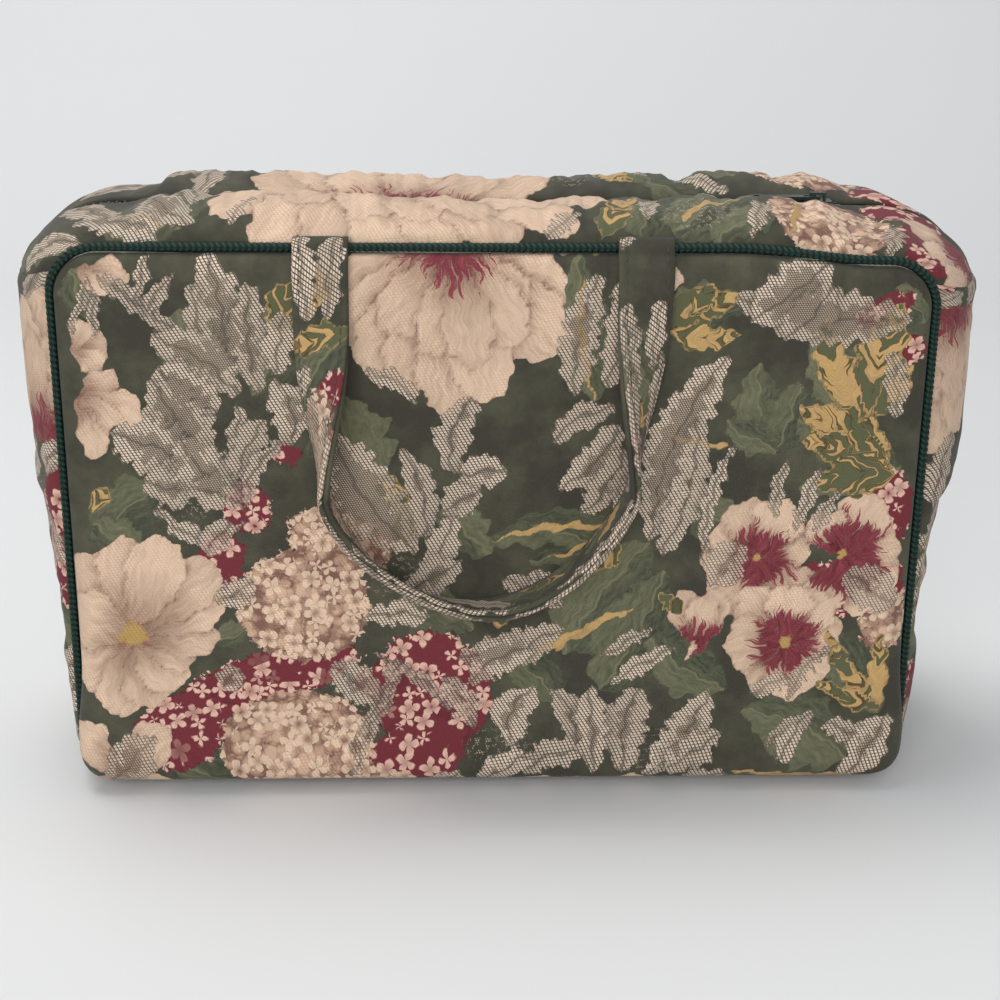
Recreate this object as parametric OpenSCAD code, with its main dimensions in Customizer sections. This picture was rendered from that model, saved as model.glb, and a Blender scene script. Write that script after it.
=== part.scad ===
// Soft toiletry bag in floral jacquard: two crowned panels edged with a braided cord, a puffed
// gusset in two top strips with a zip between them and one long strip round the sides and base,
// a strap handle hanging on each face, and a flat lining sewn into the same seams.
// Millimetres. X runs along the bag, the front face looks towards -Y and Z points up.
// The origin is the middle of the flat base.

/* [Bag] */
// Width between the two side seams, cord middle to cord middle
seam_w = 320; // [260:1:380]
// Height of the top seam above the surface the bag stands on
seam_top = 213.5; // [170:0.5:250]
// Depth between the front seam and the back seam
seam_d = 100; // [80:1:130]
// Radius of the seam round a top corner
top_r = 18; // [14:1:26]
// Radius of the seam round a bottom corner
bottom_r = 16; // [12:1:24]
// Thickness of the jacquard with its backing
cloth_t = 1.6; // [1.2:0.1:2]
// Thickness of the lining
lining_t = 0.6; // [0.4:0.1:0.9]

/* [Panels] */
// How far a panel stands out over its whole face
crown = 5; // [3:0.5:7]
// How much further it stands out where it sags, low down
belly = 6; // [3:0.5:8]
// Height of the middle of the sag
belly_z = 32; // [25:1:50]
// Half the height over which the sag fades out
belly_reach = 62; // [45:1:80]
// Width of the rounded border inside the seam
border = 12; // [9:0.5:16]

/* [Gusset] */
// How far the side gusset bulges past the seam, above the waist of the bag
side_bulge = 22.7; // [16:0.1:26]
// Height of the fold where the side gusset pulls in
waist_z = 112; // [100:1:125]
// How far the side gusset bulges just below that fold
low_bulge = 16; // [12:0.5:18]
// Distance from the bottom seam down to the flat base
base_drop = 4.5; // [4:0.1:6]
// Height of the puffed top strips over the line from seam to zip, near the shoulders
puff = 7; // [5:0.5:9]
// The same in the middle of the bag, where they sag
puff_mid = 5; // [4:0.5:7]
// Depth of the gathers along the top strips
gather = 0.7; // [0.3:0.1:1]
// Distance from one gather to the next
gather_pitch = 23; // [18:1:32]
// Angle down the top corner where the strips meet the side gusset, from straight up
join_a = 58; // [45:1:66]

/* [Cord edging] */
// Diameter of the braided cord
cord_d = 3.5; // [2.5:0.1:4.5]

/* [Handles] */
// Width of a strap
strap_w = 20; // [16:0.5:26]
// Thickness of a strap, folded and stitched
strap_t = 4.2; // [3:0.1:5]
// Thickness of a strap where it is pressed into the seam
strap_end_t = 2.6; // [2:0.1:3]
// Distance between the middles of the two ends of a strap
strap_span = 116; // [90:1:140]
// Place of the middle of a strap, off the middle of the bag
strap_x = -4.7; // [-10:0.1:10]
// Height of the middle of the hanging loop
loop_z = 82; // [72:1:104]
// Height at which the straight legs of a strap end
turn_z = 128; // [118:1:145]
// How far the right leg of a strap leans in
leg_lean = 3; // [0:0.5:6]

/* [Zip] */
// How far the outer face of the zip strips' folded edges lies above the top seam
zip_rise = 6.3; // [4:0.1:10]
// Radius of the zip round a shoulder
zip_r = 48; // [40:1:56]
// Half the gap that shows between the two strips
reveal = 5.2; // [5:0.1:6.5]
// Thickness of the zip tape
tape_t = 0.7; // [0.5:0.1:0.9]
// Half the gap between the two tapes
tape_gap = 1.5; // [1.3:0.1:1.8]
// Distance from the middle of the zip to the outer edge of a tape
tape_reach = 11; // [9:0.5:12]
// Height of the teeth
tooth_h = 1.6; // [1.2:0.1:2]
// Distance from one tooth to the next on the same tape
tooth_pitch = 3; // [2.6:0.1:4]
// Distance from the middle of the zip to the back of the teeth
tooth_back = 2.9; // [2.6:0.1:3.1]
// How far a tooth reaches past the middle of the zip
tooth_past = 0.6; // [0.4:0.1:0.8]
// Distance from the middle of the closed slider to the right end of the straight zip
slider_in = 18; // [14:1:30]
// Length of the slider
slider_l = 11; // [9:0.5:14]
// Width of the slider at its shoulders
slider_w = 8.4; // [8:0.1:9]
// Thickness of each of the slider's two plates
plate_t = 1; // [0.8:0.1:1.3]
// Diameter of the round bar at the root of the pull
pull_bar_d = 1.3; // [1:0.1:1.6]
// Length of the pull from its bar to its tip
pull_l = 27; // [20:1:34]
// Width of the pull at its rounded end
pull_w = 6.4; // [5:0.1:8]
// Thickness of the pull
pull_t = 1.2; // [0.9:0.1:1.5]

/* [Fit] */
// Clearance between soft pieces that meet at a seam
soft_gap = 0.15; // [0.1:0.05:0.25]
// Running clearance of the slider round the teeth and tapes
slide_gap = 0.3; // [0.25:0.05:0.4]
// Clearance of a strap over the cord and the panel
strap_gap = 0.3; // [0.2:0.05:0.5]
// Clearance of the pull's bar under the slider's bridge
bar_gap = 0.35; // [0.25:0.05:0.5]

/* [Hidden] */

// The seam line, a rounded rectangle in the XZ plane at y = -seam_d/2 and y = seam_d/2
half_w = seam_w / 2;
half_d = seam_d / 2;
seam_low = base_drop;
seam_h = seam_top - seam_low;
seam_mid = (seam_top + seam_low) / 2;
cord_r = cord_d / 2;
// Straight stretch of the top seam, and the middle of its corner
top_run = half_w - top_r;
top_cz = seam_top - top_r;
// The same for the bottom seam
bottom_run = half_w - bottom_r;
bottom_cz = seam_low + bottom_r;
// Outer face of the zip strips' folded edges, and the middle of the zip's bend round a shoulder
zip_top = seam_top + zip_rise;
zip_cz = zip_top - zip_r;
// Where the gusset's cloth starts behind the cord
gusset_y = half_d - cord_r - soft_gap;
// Room between the seam line and the edge of a panel
edge_in = cord_r + soft_gap;

// Levels of the zip, measured inwards from the face of the strips' folded edges
fold_rise = 0.8;
tape_top = fold_rise + soft_gap;
// How far the strips' cloth rises behind the fold, so that its inner face clears the tape
fold_lift = cloth_t - fold_rise + 2 * soft_gap;
tooth_low = zip_top - tape_top;
tooth_top = tooth_low + tooth_h;

// Steps round each curve and along each straight
top_steps = 26;
bend_steps = 6;
side_steps = 13;
base_steps = 4;
strap_steps = 20;

function unit(v) = v / norm(v);
function mix(a, b, t) = a + (b - a) * t;
function clamp01(t) = min(1, max(0, t));
function smooth(t) = let (c = clamp01(t)) c * c * (3 - 2 * c);
function reversed(v) = [for (i = [len(v) - 1 : -1 : 0]) v[i]];
function flat(v) = [for (row = v) for (p = row) p];

// A closed sheet between two grids of points, the outer and the inner face of a cloth
module sheet(outer, inner) {
    n = len(outer);
    m = len(outer[0]);
    k = n * m;
    function at(i, j) = i * m + j;
    function quad(a, b, c, d) = [[a, b, c], [a, c, d]];
    faces = concat(
        [for (i = [0 : n - 2]) for (j = [0 : m - 2])
            each quad(at(i, j), at(i + 1, j), at(i + 1, j + 1), at(i, j + 1))],
        [for (i = [0 : n - 2]) for (j = [0 : m - 2])
            each quad(k + at(i, j), k + at(i, j + 1), k + at(i + 1, j + 1), k + at(i + 1, j))],
        [for (i = [0 : n - 2]) each quad(at(i, 0), k + at(i, 0), k + at(i + 1, 0), at(i + 1, 0))],
        [for (i = [0 : n - 2])
            each quad(at(i, m - 1), at(i + 1, m - 1), k + at(i + 1, m - 1), k + at(i, m - 1))],
        [for (j = [0 : m - 2]) each quad(at(0, j), at(0, j + 1), k + at(0, j + 1), k + at(0, j))],
        [for (j = [0 : m - 2])
            each quad(at(n - 1, j), k + at(n - 1, j), k + at(n - 1, j + 1), at(n - 1, j + 1))]);
    polyhedron(points = concat(flat(outer), flat(inner)), faces = faces);
}

// A closed tube through rings of points
module tube(rings) {
    n = len(rings);
    m = len(rings[0]);
    faces = concat(
        [for (i = [0 : n - 2]) for (j = [0 : m - 1])
            let (a = i * m + j, b = i * m + (j + 1) % m)
            each [[a, b, b + m], [a, b + m, a + m]]],
        [[for (j = [m - 1 : -1 : 0]) j]],
        [[for (j = [0 : m - 1]) (n - 1) * m + j]]);
    polyhedron(points = flat(rings), faces = faces);
}

// Panels: grid lines gather towards the edge, and the corner squares are pressed into quarter
// discs, so that the outline follows the rounded seam
panel_w = half_w - edge_in;
panel_h = seam_h / 2 - edge_in;
edge_lines = [0, 0.08, 0.25, 0.55];

function grid_lines(half, r, steps) = concat(
    [for (t = edge_lines) -half + t * r],
    [for (i = [0 : steps]) mix(-half + r, half - r, i / steps)],
    reversed([for (t = edge_lines) half - t * r]));

// A point of the square corner of side r, pressed into its quarter disc
function pressed(u, v, r) = let (a = u / r, b = v / r)
    [u * sqrt(1 - b * b / 2), v * sqrt(1 - a * a / 2)];

function corner_r(z) = (z > 0 ? top_r : bottom_r) - edge_in;

function panel_xz(x, z) =
    let (r = corner_r(z), u = abs(x) - (panel_w - r), v = abs(z) - (panel_h - r),
         sx = sign(x), sz = sign(z))
    u > 0 && v > 0
        ? let (p = pressed(u, v, r)) [sx * (panel_w - r + p[0]), sz * (panel_h - r + p[1])]
        : [x, z];

// Distance of a point from the edge of the panel
function edge_dist(x, z) =
    let (r = corner_r(z), u = abs(x) - (panel_w - r), v = abs(z) - (panel_h - r))
    u > 0 && v > 0 ? r - norm([u, v]) : min(panel_w - abs(x), panel_h - abs(z));

function rise(d) = d >= border ? 1 : sqrt(max(0, 1 - pow(1 - max(0, d) / border, 2)));

// How far the panel stands out at a place on it, z above the base
function stand_out(x, z) =
    (crown + belly * exp(-pow((z - belly_z) / belly_reach, 2)))
    * rise(edge_dist(x, z - seam_mid));

function panel_face(inset) =
    [for (gx = grid_lines(panel_w, top_r - edge_in, 10))
        [for (gz = grid_lines(panel_h, top_r - edge_in, 7))
            let (p = panel_xz(gx, gz), z = p[1] + seam_mid)
            [p[0], -half_d - cloth_t / 2 - stand_out(p[0], z) + inset, z]]];

module panel() {
    color("darkolivegreen") sheet(panel_face(0), panel_face(cloth_t));
}

// Bulge of a gusset between its two seams: t runs from -1 at the front seam to 1 at the back
function bulge(t) = pow(max(0, 1 - pow(abs(t), 2.2)), 0.6);
// The same where the gusset lies flat on what the bag stands on
function flat_bulge(t) = min(1, 1.06 * sqrt(max(0, 1 - pow(abs(t), 8))));

// Moves a profile of [y, height] points inwards by the cloth's thickness. The cut edge at a seam
// runs along Y, and no inner point dips to the lining
function inwards(p) = [for (i = [0 : len(p) - 1])
    let (a = p[max(0, i - 1)], b = p[min(len(p) - 1, i + 1)], t = unit(b - a),
         q = p[i] + cloth_t * [t[1], -t[0]])
    p[i][1] > 0 ? [q[0], max(0, q[1])] : [p[i][0] - sign(p[i][0]) * cloth_t, 0]];

// A profile set at seam point s, [x, z], with its height along direction d
function placed(profile, s, d) = [for (p = profile) [s[0] + d[0] * p[1], p[0], s[1] + d[1] * p[1]]];

// Top strips. A place along them is [x, a]: x on the straight, and a the angle round the corner
top_places = concat(
    [for (i = [0 : bend_steps - 1]) [-top_run, -join_a * (1 - i / bend_steps)]],
    [for (i = [0 : top_steps]) [mix(-top_run, top_run, i / top_steps), 0]],
    [for (i = [1 : bend_steps]) [top_run, join_a * i / bend_steps]]);

function on_bend(place, r, cz) = [place[0] + r * sin(place[1]), cz + r * cos(place[1])];
function seam_at(place) = on_bend(place, top_r, top_cz);
function zip_at(place) = on_bend(place, zip_r, zip_cz);

function puff_at(place) =
    let (x = abs(place[0]), a = abs(place[1]), run = top_run)
    (mix(puff_mid, puff, smooth(x / (run * 0.7))) + gather * sin(360 * place[0] / gather_pitch))
    * (1 - 0.75 * smooth((x - run * 0.84) / (run * 0.16))) * (1 - smooth(a / join_a));

strip_w = gusset_y - reveal;
strip_lines = [0, 0.035, 0.12, 0.28, 0.5, 0.7, 0.85, 0.945];

function strip_profile(place) =
    let (l = norm(zip_at(place) - seam_at(place)), up = puff_at(place))
    concat([for (w = strip_lines) let (y = -gusset_y + w * strip_w)
               [y, (l + fold_lift) * bulge(y / gusset_y) + up * pow(sin(180 * w), 0.6)]],
           [[-reveal, l - fold_rise]]);

// The last point lies on the folded edge, whose thickness runs along the tape
function strip_inside(profile) = let (n = len(profile), p = inwards(profile))
    concat([for (i = [0 : n - 2]) p[i]], [profile[n - 1] - [cloth_t, 0]]);

module top_strip() {
    outer = [for (c = top_places)
        placed(strip_profile(c), seam_at(c), unit(zip_at(c) - seam_at(c)))];
    inner = [for (c = top_places)
        placed(strip_inside(strip_profile(c)), seam_at(c), unit(zip_at(c) - seam_at(c)))];
    color("tan") sheet(reversed(outer), reversed(inner));
}

// Half the height over which the side gusset folds in at its waist, the height over which it
// comes away from the base, and how far below its seam the top of it bulges out
fold_h = 7;
flat_h = 50;
shoulder_drop = 6;

// Side gusset: each section has its seam point, the point its middle bulges out to, and how
// flat it is. The list runs from the middle of the base up to the right-hand join
function side_bulge_at(z) = lookup(z, [
    [bottom_cz, base_drop], [mix(bottom_cz, waist_z, 0.35), mix(base_drop, low_bulge, 0.42)],
    [mix(bottom_cz, waist_z, 0.7), mix(base_drop, low_bulge, 0.8)], [waist_z - fold_h, low_bulge],
    [waist_z + fold_h, mix(low_bulge, side_bulge, 0.85)], [waist_z + 4 * fold_h, side_bulge],
    [top_cz, side_bulge]]);

join_seam = seam_at([top_run, join_a]);
join_dir = unit(zip_at([top_run, join_a]) - join_seam);
join_out = zip_at([top_run, join_a]) + fold_lift * join_dir;
// A short step along the gusset, away from the top strips
join_step = 2 * soft_gap * [join_dir[1], -join_dir[0]];
// The middle of the upper gusset bulges out lower than its seam
shoulder_out = [half_w + side_bulge, top_cz - shoulder_drop];

function side_out(z) = let (low = waist_z + 3 * fold_h, sag = smooth((z - low) / (top_cz - low)))
    [half_w + side_bulge_at(z), z - sag * shoulder_drop];

half_sections = concat(
    [for (i = [0 : base_steps]) let (x = bottom_run * i / base_steps)
        [[x, seam_low], [x, seam_low - base_drop], 1]],
    [for (i = [1 : bend_steps - 1]) let (b = 90 * i / bend_steps, v = [sin(b), -cos(b)])
        [[bottom_run, bottom_cz] + bottom_r * v, [bottom_run, bottom_cz] + (bottom_r + base_drop) * v, 1]],
    [for (i = [0 : side_steps]) let (z = mix(bottom_cz, top_cz, i / side_steps))
        [[half_w, z], side_out(z), 1 - smooth((z - bottom_cz) / flat_h)]],
    [for (i = [1 : 3]) let (a = mix(90, join_a, i / 3))
        [seam_at([top_run, a]) + (i == 3 ? join_step : [0, 0]),
         mix(shoulder_out, join_out, i / 3) + (i == 3 ? join_step : [0, 0]), 0]]);

function mirrored(s) = [[-s[0][0], s[0][1]], [-s[1][0], s[1][1]], s[2]];
gusset_sections = concat(
    [for (i = [len(half_sections) - 1 : -1 : 1]) mirrored(half_sections[i])], half_sections);
gusset_lines = [-1, -0.96, -0.86, -0.68, -0.38, 0, 0.38, 0.68, 0.86, 0.96, 1];

function gusset_profile(s) = let (l = norm(s[1] - s[0]))
    [for (t = gusset_lines) [t * gusset_y, l * mix(bulge(t), flat_bulge(t), s[2])]];

module side_gusset() {
    outer = [for (s = gusset_sections)
        placed(gusset_profile(s), s[0], unit(s[1] - s[0]))];
    inner = [for (s = gusset_sections)
        placed(inwards(gusset_profile(s)), s[0], unit(s[1] - s[0]))];
    color("darkkhaki") sheet(reversed(outer), reversed(inner));
}

// A quarter or part of a ring round the Y axis, from angle a0 to a1 down from straight up
module bend(cx, cz, a0, a1) {
    translate([cx, 0, cz]) rotate([90, 0, 0]) rotate([0, 0, 90 - a1])
        rotate_extrude(angle = a1 - a0, $fn = 96) children();
}

// Cord edging: round the whole seam line
module seam_cord() {
    color("darkslategray") translate([0, -half_d, 0]) {
        for (s = [-1, 1]) {
            translate([s * half_w, 0, bottom_cz])
                cylinder(r = cord_r, h = top_cz - bottom_cz, $fn = 32);
            bend(s * top_run, top_cz, s > 0 ? 0 : -90, s > 0 ? 90 : 0)
                translate([top_r, 0]) circle(r = cord_r, $fn = 32);
            bend(s * bottom_run, bottom_cz, s > 0 ? 90 : 180, s > 0 ? 180 : 270)
                translate([bottom_r, 0]) circle(r = cord_r, $fn = 32);
        }
        translate([-top_run, 0, seam_top]) rotate([0, 90, 0])
            cylinder(r = cord_r, h = 2 * top_run, $fn = 32);
        translate([-bottom_run, 0, seam_low]) rotate([0, 90, 0])
            cylinder(r = cord_r, h = 2 * bottom_run, $fn = 32);
    }
}

// Handle: u runs from 0 at the left end to 1 at the right end. The strap comes out of the seam
// over the cord, lies flat on the panel, then turns on edge so that its loop stands clear, with
// the inner edge of the loop in front. The loop falls less steeply on the left
end_part = 0.03;
leg_part = 0.255;
// Where the twist starts on the left and on the right, and where the strap stands on edge
twist_from = [0.065, 0.03];
twist_to = 0.275;
// The loop's lower left leans back by this angle, around this place
loop_lean = 20;
lean_at = 0.42;
lean_reach = 0.08;
// Shape of the loop on the left and on the right, from 1, an ellipse, to 2, a parabola
loop_fall = [1.6, 1.3];
// Width of a strap's rounded edge
strap_edge = 0.8;
// Angle before the top of the cord at which a strap comes out of the seam
strap_start = 20;

function from_end(u) = 0.5 - abs(u - 0.5);
function strap_thick(v) = mix(strap_end_t, strap_t, smooth(v / 0.12));
function strap_twist(u) = let (from = u < 0.5 ? twist_from[0] : twist_from[1])
    90 * smooth((from_end(u) - from) / (twist_to - from))
    - loop_lean * exp(-pow((u - lean_at) / lean_reach, 2));
function full_stand(z) = crown + belly * exp(-pow((z - belly_z) / belly_reach, 2));

// Distance of the strap's middle in front of the middle plane, where it hangs over the panel. Its
// lowest point, at its edge, lies where the panel stands out most
function strap_out(x, z, u) =
    let (w = strap_twist(u), k = strap_thick(from_end(u)) / 2,
         half_in = strap_w / 2 * sin(w) + k * cos(w), low = z - strap_w / 2 * cos(w) - k * sin(w),
         near = max(half_d + cord_r, half_d + cloth_t / 2 + stand_out(x, z)),
         far = half_d + cloth_t / 2 + full_stand(low))
    mix(near, far, smooth((seam_top - z) / border)) + strap_gap + half_in;

// The strap's middle at u, which bends over the cord, runs down and then rounds the loop
function strap_mid(u) =
    let (v = from_end(u), s = u < 0.5 ? -1 : 1, r = cord_r + strap_gap + strap_end_t / 2,
         lean = u < 0.5 ? 0 : leg_lean, half = strap_span / 2)
    v < end_part
        ? let (a = mix(-strap_start, 90, v / end_part))
          [strap_x + s * half, -half_d - r * sin(a), seam_top + r * cos(a)]
        : v < leg_part
            ? let (down = (v - end_part) / (leg_part - end_part), z = mix(seam_top, turn_z, down),
                   x = strap_x + s * (half - lean * smooth(down)))
              [x, -strap_out(x, z, u), z]
            : let (a = 90 * (v - leg_part) / (0.5 - leg_part),
                   x = strap_x + s * (half - lean) * cos(a),
                   z = mix(turn_z, loop_z, pow(sin(a), loop_fall[u < 0.5 ? 0 : 1])))
              [x, -strap_out(x, z, u), z];

// Places of the rings, closer together over the cord
strap_places = let (half = concat([for (i = [0 : 3]) end_part * i / 4],
    [for (i = [0 : strap_steps]) mix(end_part, 0.5, i / strap_steps)]))
    concat(half, [for (i = [len(half) - 2 : -1 : 0]) 1 - half[i]]);

function strap_ring(u) =
    let (c = strap_mid(u), e = 0.003, v = from_end(u), w = strap_twist(u),
         t = unit(strap_mid(min(1, u + e)) - strap_mid(max(0, u - e))),
         // From the outer edge of the loop, which lies on the panel, to its inner edge
         inwards = v < leg_part ? [u < 0.5 ? 1 : -1, 0, 0] : unit([-t[2], 0, t[0]]),
         lean = cos(w) * inwards - sin(w) * [0, 1, 0],
         across = unit(lean - t * (lean * t)), up = cross(t, across),
         h = strap_w / 2, k = strap_thick(v) / 2, m = k * 0.5)
    [for (q = [[-h, -m], [-h + strap_edge, -k], [h - strap_edge, -k], [h, -m],
               [h, m], [h - strap_edge, k], [-h + strap_edge, k], [-h, m]])
        c + q[0] * across + q[1] * up];

module strap() {
    color("olivedrab") tube([for (u = strap_places) strap_ring(u)]);
}

// Zip. The teeth are two combs that mesh, sewn on the tapes, and follow the left shoulder only:
// past the stops, the tapes run on alone round the right shoulder to the join
slider_x = top_run - slider_in;
slider_front = slider_x + slider_l / 2;
post_l = 2;
post_in = 1;
post_x = slider_front - post_l - post_in;
teeth_end = post_x - slide_gap;
comb_end = slider_front;
stop_l = 2.4;
stop_w = 1;
tooth_gap = 0.2;
tooth_w = tooth_pitch / 2 - tooth_gap;
spine_w = 0.7;
stop_angle = join_a - 5;
tape_angle = join_a - 2.5;
arc_teeth = floor((stop_angle - 2) * PI / 180 * zip_r / tooth_pitch);
arc_step = tooth_pitch / (zip_r - tape_top) * 180 / PI;
comb_teeth = floor((teeth_end + top_run) / tooth_pitch);

// Places along the top and down both shoulders to angle a1
function band_places(a1) = concat([for (i = [0 : 8]) [-top_run, -a1 * (1 - i / 8)]],
                                  [for (i = [0 : 8]) [top_run, a1 * i / 8]]);

// Outline of a band that follows those places, between radii r0 and r1
function band(r0, r1, cz, a1) = concat([for (c = band_places(a1)) on_bend(c, r1, cz)],
                                       reversed([for (c = band_places(a1)) on_bend(c, r0, cz)]));

// A band extruded along Y, from y0 to y1 in front of the middle plane
module band_piece(r0, r1, cz, a1, y0, y1) {
    translate([0, -y0, 0]) rotate([90, 0, 0]) linear_extrude(height = y1 - y0)
        polygon(band(r0, r1, cz, a1));
}

module zip_tape() {
    r1 = zip_r - tape_top;
    color("dimgray") band_piece(r1 - tape_t, r1, zip_cz, tape_angle, tape_gap, tape_reach);
}

// One comb, its spine along the front tape. shift is how far its teeth are set along the zip
module zip_teeth(shift) {
    r0 = zip_r - tape_top;
    spine = -tooth_back + spine_w;
    outline = concat(
        [[-top_run, -tooth_back], [comb_end, -tooth_back], [comb_end, spine]],
        [for (i = [comb_teeth - 1 : -1 : 0])
            let (x = -top_run + shift + i * tooth_pitch)
            each [[x + tooth_w, spine], [x + tooth_w, tooth_past], [x, tooth_past], [x, spine]]],
        [[-top_run, spine]]);
    color("darkslategray") {
        translate([0, 0, tooth_low]) linear_extrude(height = tooth_h) polygon(outline);
        bend(-top_run, zip_cz, -stop_angle, 0)
            translate([r0, tooth_back - spine_w]) square([tooth_h, spine_w]);
        for (i = [1 : arc_teeth - 1])
            translate([-top_run, 0, zip_cz])
                rotate([0, -i * arc_step + shift / r0 * 180 / PI, 0])
                    translate([-tooth_w / 2, spine - soft_gap, r0])
                        cube([tooth_w, tooth_past - spine + soft_gap, tooth_h]);
    }
}

// Metal stop clamped on one tape beyond the slider
module top_stop() {
    color("darkslategray")
        translate([slider_front + 2 * slide_gap, -tooth_back - stop_w, tooth_low])
            cube([stop_l, tooth_back + stop_w - tape_gap, tooth_h]);
}

// Metal staple across both tapes at the closed end, round the left shoulder
module bottom_stop() {
    w = tooth_back + stop_w / 2;
    color("darkslategray") translate([-top_run, 0, zip_cz])
        rotate([0, -(stop_angle + 1.6), 0]) translate([-stop_l / 2, -w, zip_r - tape_top])
            cube([stop_l, 2 * w, tooth_h]);
}

// Slider: two plates round the teeth, held together by the divider post, with a bridge on top
plate_low = tooth_low - tape_t - slide_gap - plate_t;
plate_top = tooth_top + slide_gap;
bridge_t = 1;
bridge_w = 1.8;
bar_x = slider_x + 0.4;
bar_r = pull_bar_d / 2;
bar_z = plate_top + plate_t + bar_gap + bar_r;
eye_l = pull_bar_d + 2 * bar_gap + 2;
eye_h = pull_bar_d + 2 * bar_gap;

module plate_outline() {
    h = slider_l / 2;
    w = slider_w / 2;
    polygon([[-h, -w * 0.72], [-h * 0.8, -w * 0.8], [h * 0.2, -w], [h * 0.8, -w], [h, -w * 0.75],
             [h, w * 0.75], [h * 0.8, w], [h * 0.2, w], [-h * 0.8, w * 0.8], [-h, w * 0.72]]);
}

module zip_slider() {
    lip = slider_w / 2 * 0.72 - tooth_back - slide_gap;
    color("darkslategray") {
        translate([slider_x, 0, plate_low]) linear_extrude(height = plate_t) plate_outline();
        translate([slider_x, 0, plate_top]) linear_extrude(height = plate_t) plate_outline();
        // Lips that keep the teeth in line
        for (s = [-1, 1])
            translate([slider_x, 0, tooth_low + slide_gap])
                linear_extrude(height = tooth_h + plate_t / 2) intersection() {
                    plate_outline();
                    translate([-slider_l / 2, s > 0 ? tooth_back + slide_gap : -slider_w / 2])
                        square([slider_l, slider_w / 2 - tooth_back - slide_gap]);
                }
        // Divider post, through the gap between the tapes
        translate([post_x, -0.9, plate_low + plate_t / 2])
            cube([post_l, 1.8, plate_top - plate_low]);
        // Bridge over the pull's bar
        for (x = [bar_x - eye_l / 2 - bridge_t, bar_x + eye_l / 2])
            translate([x, -bridge_w / 2, plate_top + plate_t / 2])
                cube([bridge_t, bridge_w, plate_t / 2 + eye_h + bridge_t]);
        translate([bar_x - eye_l / 2 - bridge_t, -bridge_w / 2, plate_top + plate_t + eye_h])
            cube([eye_l + 2 * bridge_t, bridge_w, bridge_t]);
    }
}

// Pull: a bar under the bridge, two arms beside it and a rounded tab, lying back along the zip
module zip_pull() {
    arm_in = bridge_w / 2 + bar_gap;
    arm_w = pull_w / 2 - 0.6 - arm_in;
    arm_l = eye_l / 2 + bridge_t + 2.4;
    end_r = pull_w / 2;
    color("darkslategray") translate([bar_x, 0, bar_z]) {
        rotate([90, 0, 0]) cylinder(r = bar_r, h = 2 * (arm_in + arm_w), center = true, $fn = 32);
        translate([0, 0, -pull_t / 2]) linear_extrude(height = pull_t) difference() {
            union() {
                for (s = [-1, 1])
                    translate([-arm_l, s > 0 ? arm_in : -arm_in - arm_w]) square([arm_l, arm_w]);
                polygon([[-arm_l, -arm_in - arm_w], [-arm_l, arm_in + arm_w],
                         [-pull_l + end_r, end_r], [-pull_l + end_r, -end_r]]);
                translate([-pull_l + end_r, 0]) circle(r = end_r, $fn = 48);
            }
            translate([-pull_l + end_r, 0]) circle(r = end_r * 0.42, $fn = 32);
        }
    }
}

// Lining: flat sheets that the seams hold, with a bound edge where they meet the gusset
module round_sheet(inset, t) {
    w = half_w - inset;
    rotate([90, 0, 0]) linear_extrude(height = t) {
        for (s = [-1, 1]) {
            translate([s * top_run, top_cz]) circle(r = top_r - inset, $fn = 64);
            translate([s * bottom_run, bottom_cz]) circle(r = bottom_r - inset, $fn = 64);
        }
        translate([-w, bottom_cz]) square([2 * w, top_cz - bottom_cz]);
        translate([-top_run, seam_mid]) square([2 * top_run, seam_top - inset - seam_mid]);
        translate([-bottom_run, seam_low + inset])
            square([2 * bottom_run, seam_mid - seam_low - inset]);
    }
}

lining_y = half_d - cloth_t / 2 - soft_gap - lining_t;

module panel_lining() {
    color("lightgray") translate([0, -lining_y, 0]) round_sheet(edge_in, lining_t);
}

// Strip lining: from the seam to the zip, under the top strips
lining_edge = 4;
module strip_lining() {
    r1 = top_r - soft_gap;
    color("lightgray") band_piece(r1 - lining_t, r1, top_cz, join_a, lining_edge, gusset_y);
}

module lining_gusset() {
    r0 = top_r - soft_gap - lining_t;
    r1 = bottom_r - soft_gap - lining_t;
    w = 2 * gusset_y;
    gap_a = 2 * soft_gap / top_r * 180 / PI;
    color("lightgray") {
        for (s = [-1, 1]) {
            bend(s * top_run, top_cz, s > 0 ? join_a + gap_a : -90, s > 0 ? 90 : -join_a - gap_a)
                translate([r0, -gusset_y]) square([lining_t, w]);
            bend(s * bottom_run, bottom_cz, s > 0 ? 90 : 180, s > 0 ? 180 : 270)
                translate([r1, -gusset_y]) square([lining_t, w]);
            translate([s > 0 ? half_w - soft_gap - lining_t : -half_w + soft_gap, -gusset_y, bottom_cz])
                cube([lining_t, w, top_cz - bottom_cz]);
        }
        translate([-bottom_run, -gusset_y, seam_low + soft_gap]) cube([2 * bottom_run, w, lining_t]);
    }
}

// Binding: a folded tape over the raw edges, all round the inside of a seam
binding_w = 9;
binding_t = 0.8;
module binding() {
    inset = 2 * soft_gap + lining_t;
    color("dimgray") translate([0, -gusset_y + binding_w, 0]) difference() {
        round_sheet(inset, binding_w);
        translate([0, 1, 0]) round_sheet(inset + binding_t, binding_w + 2);
    }
}

module on_back() {
    mirror([0, 1, 0]) children();
}

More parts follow.
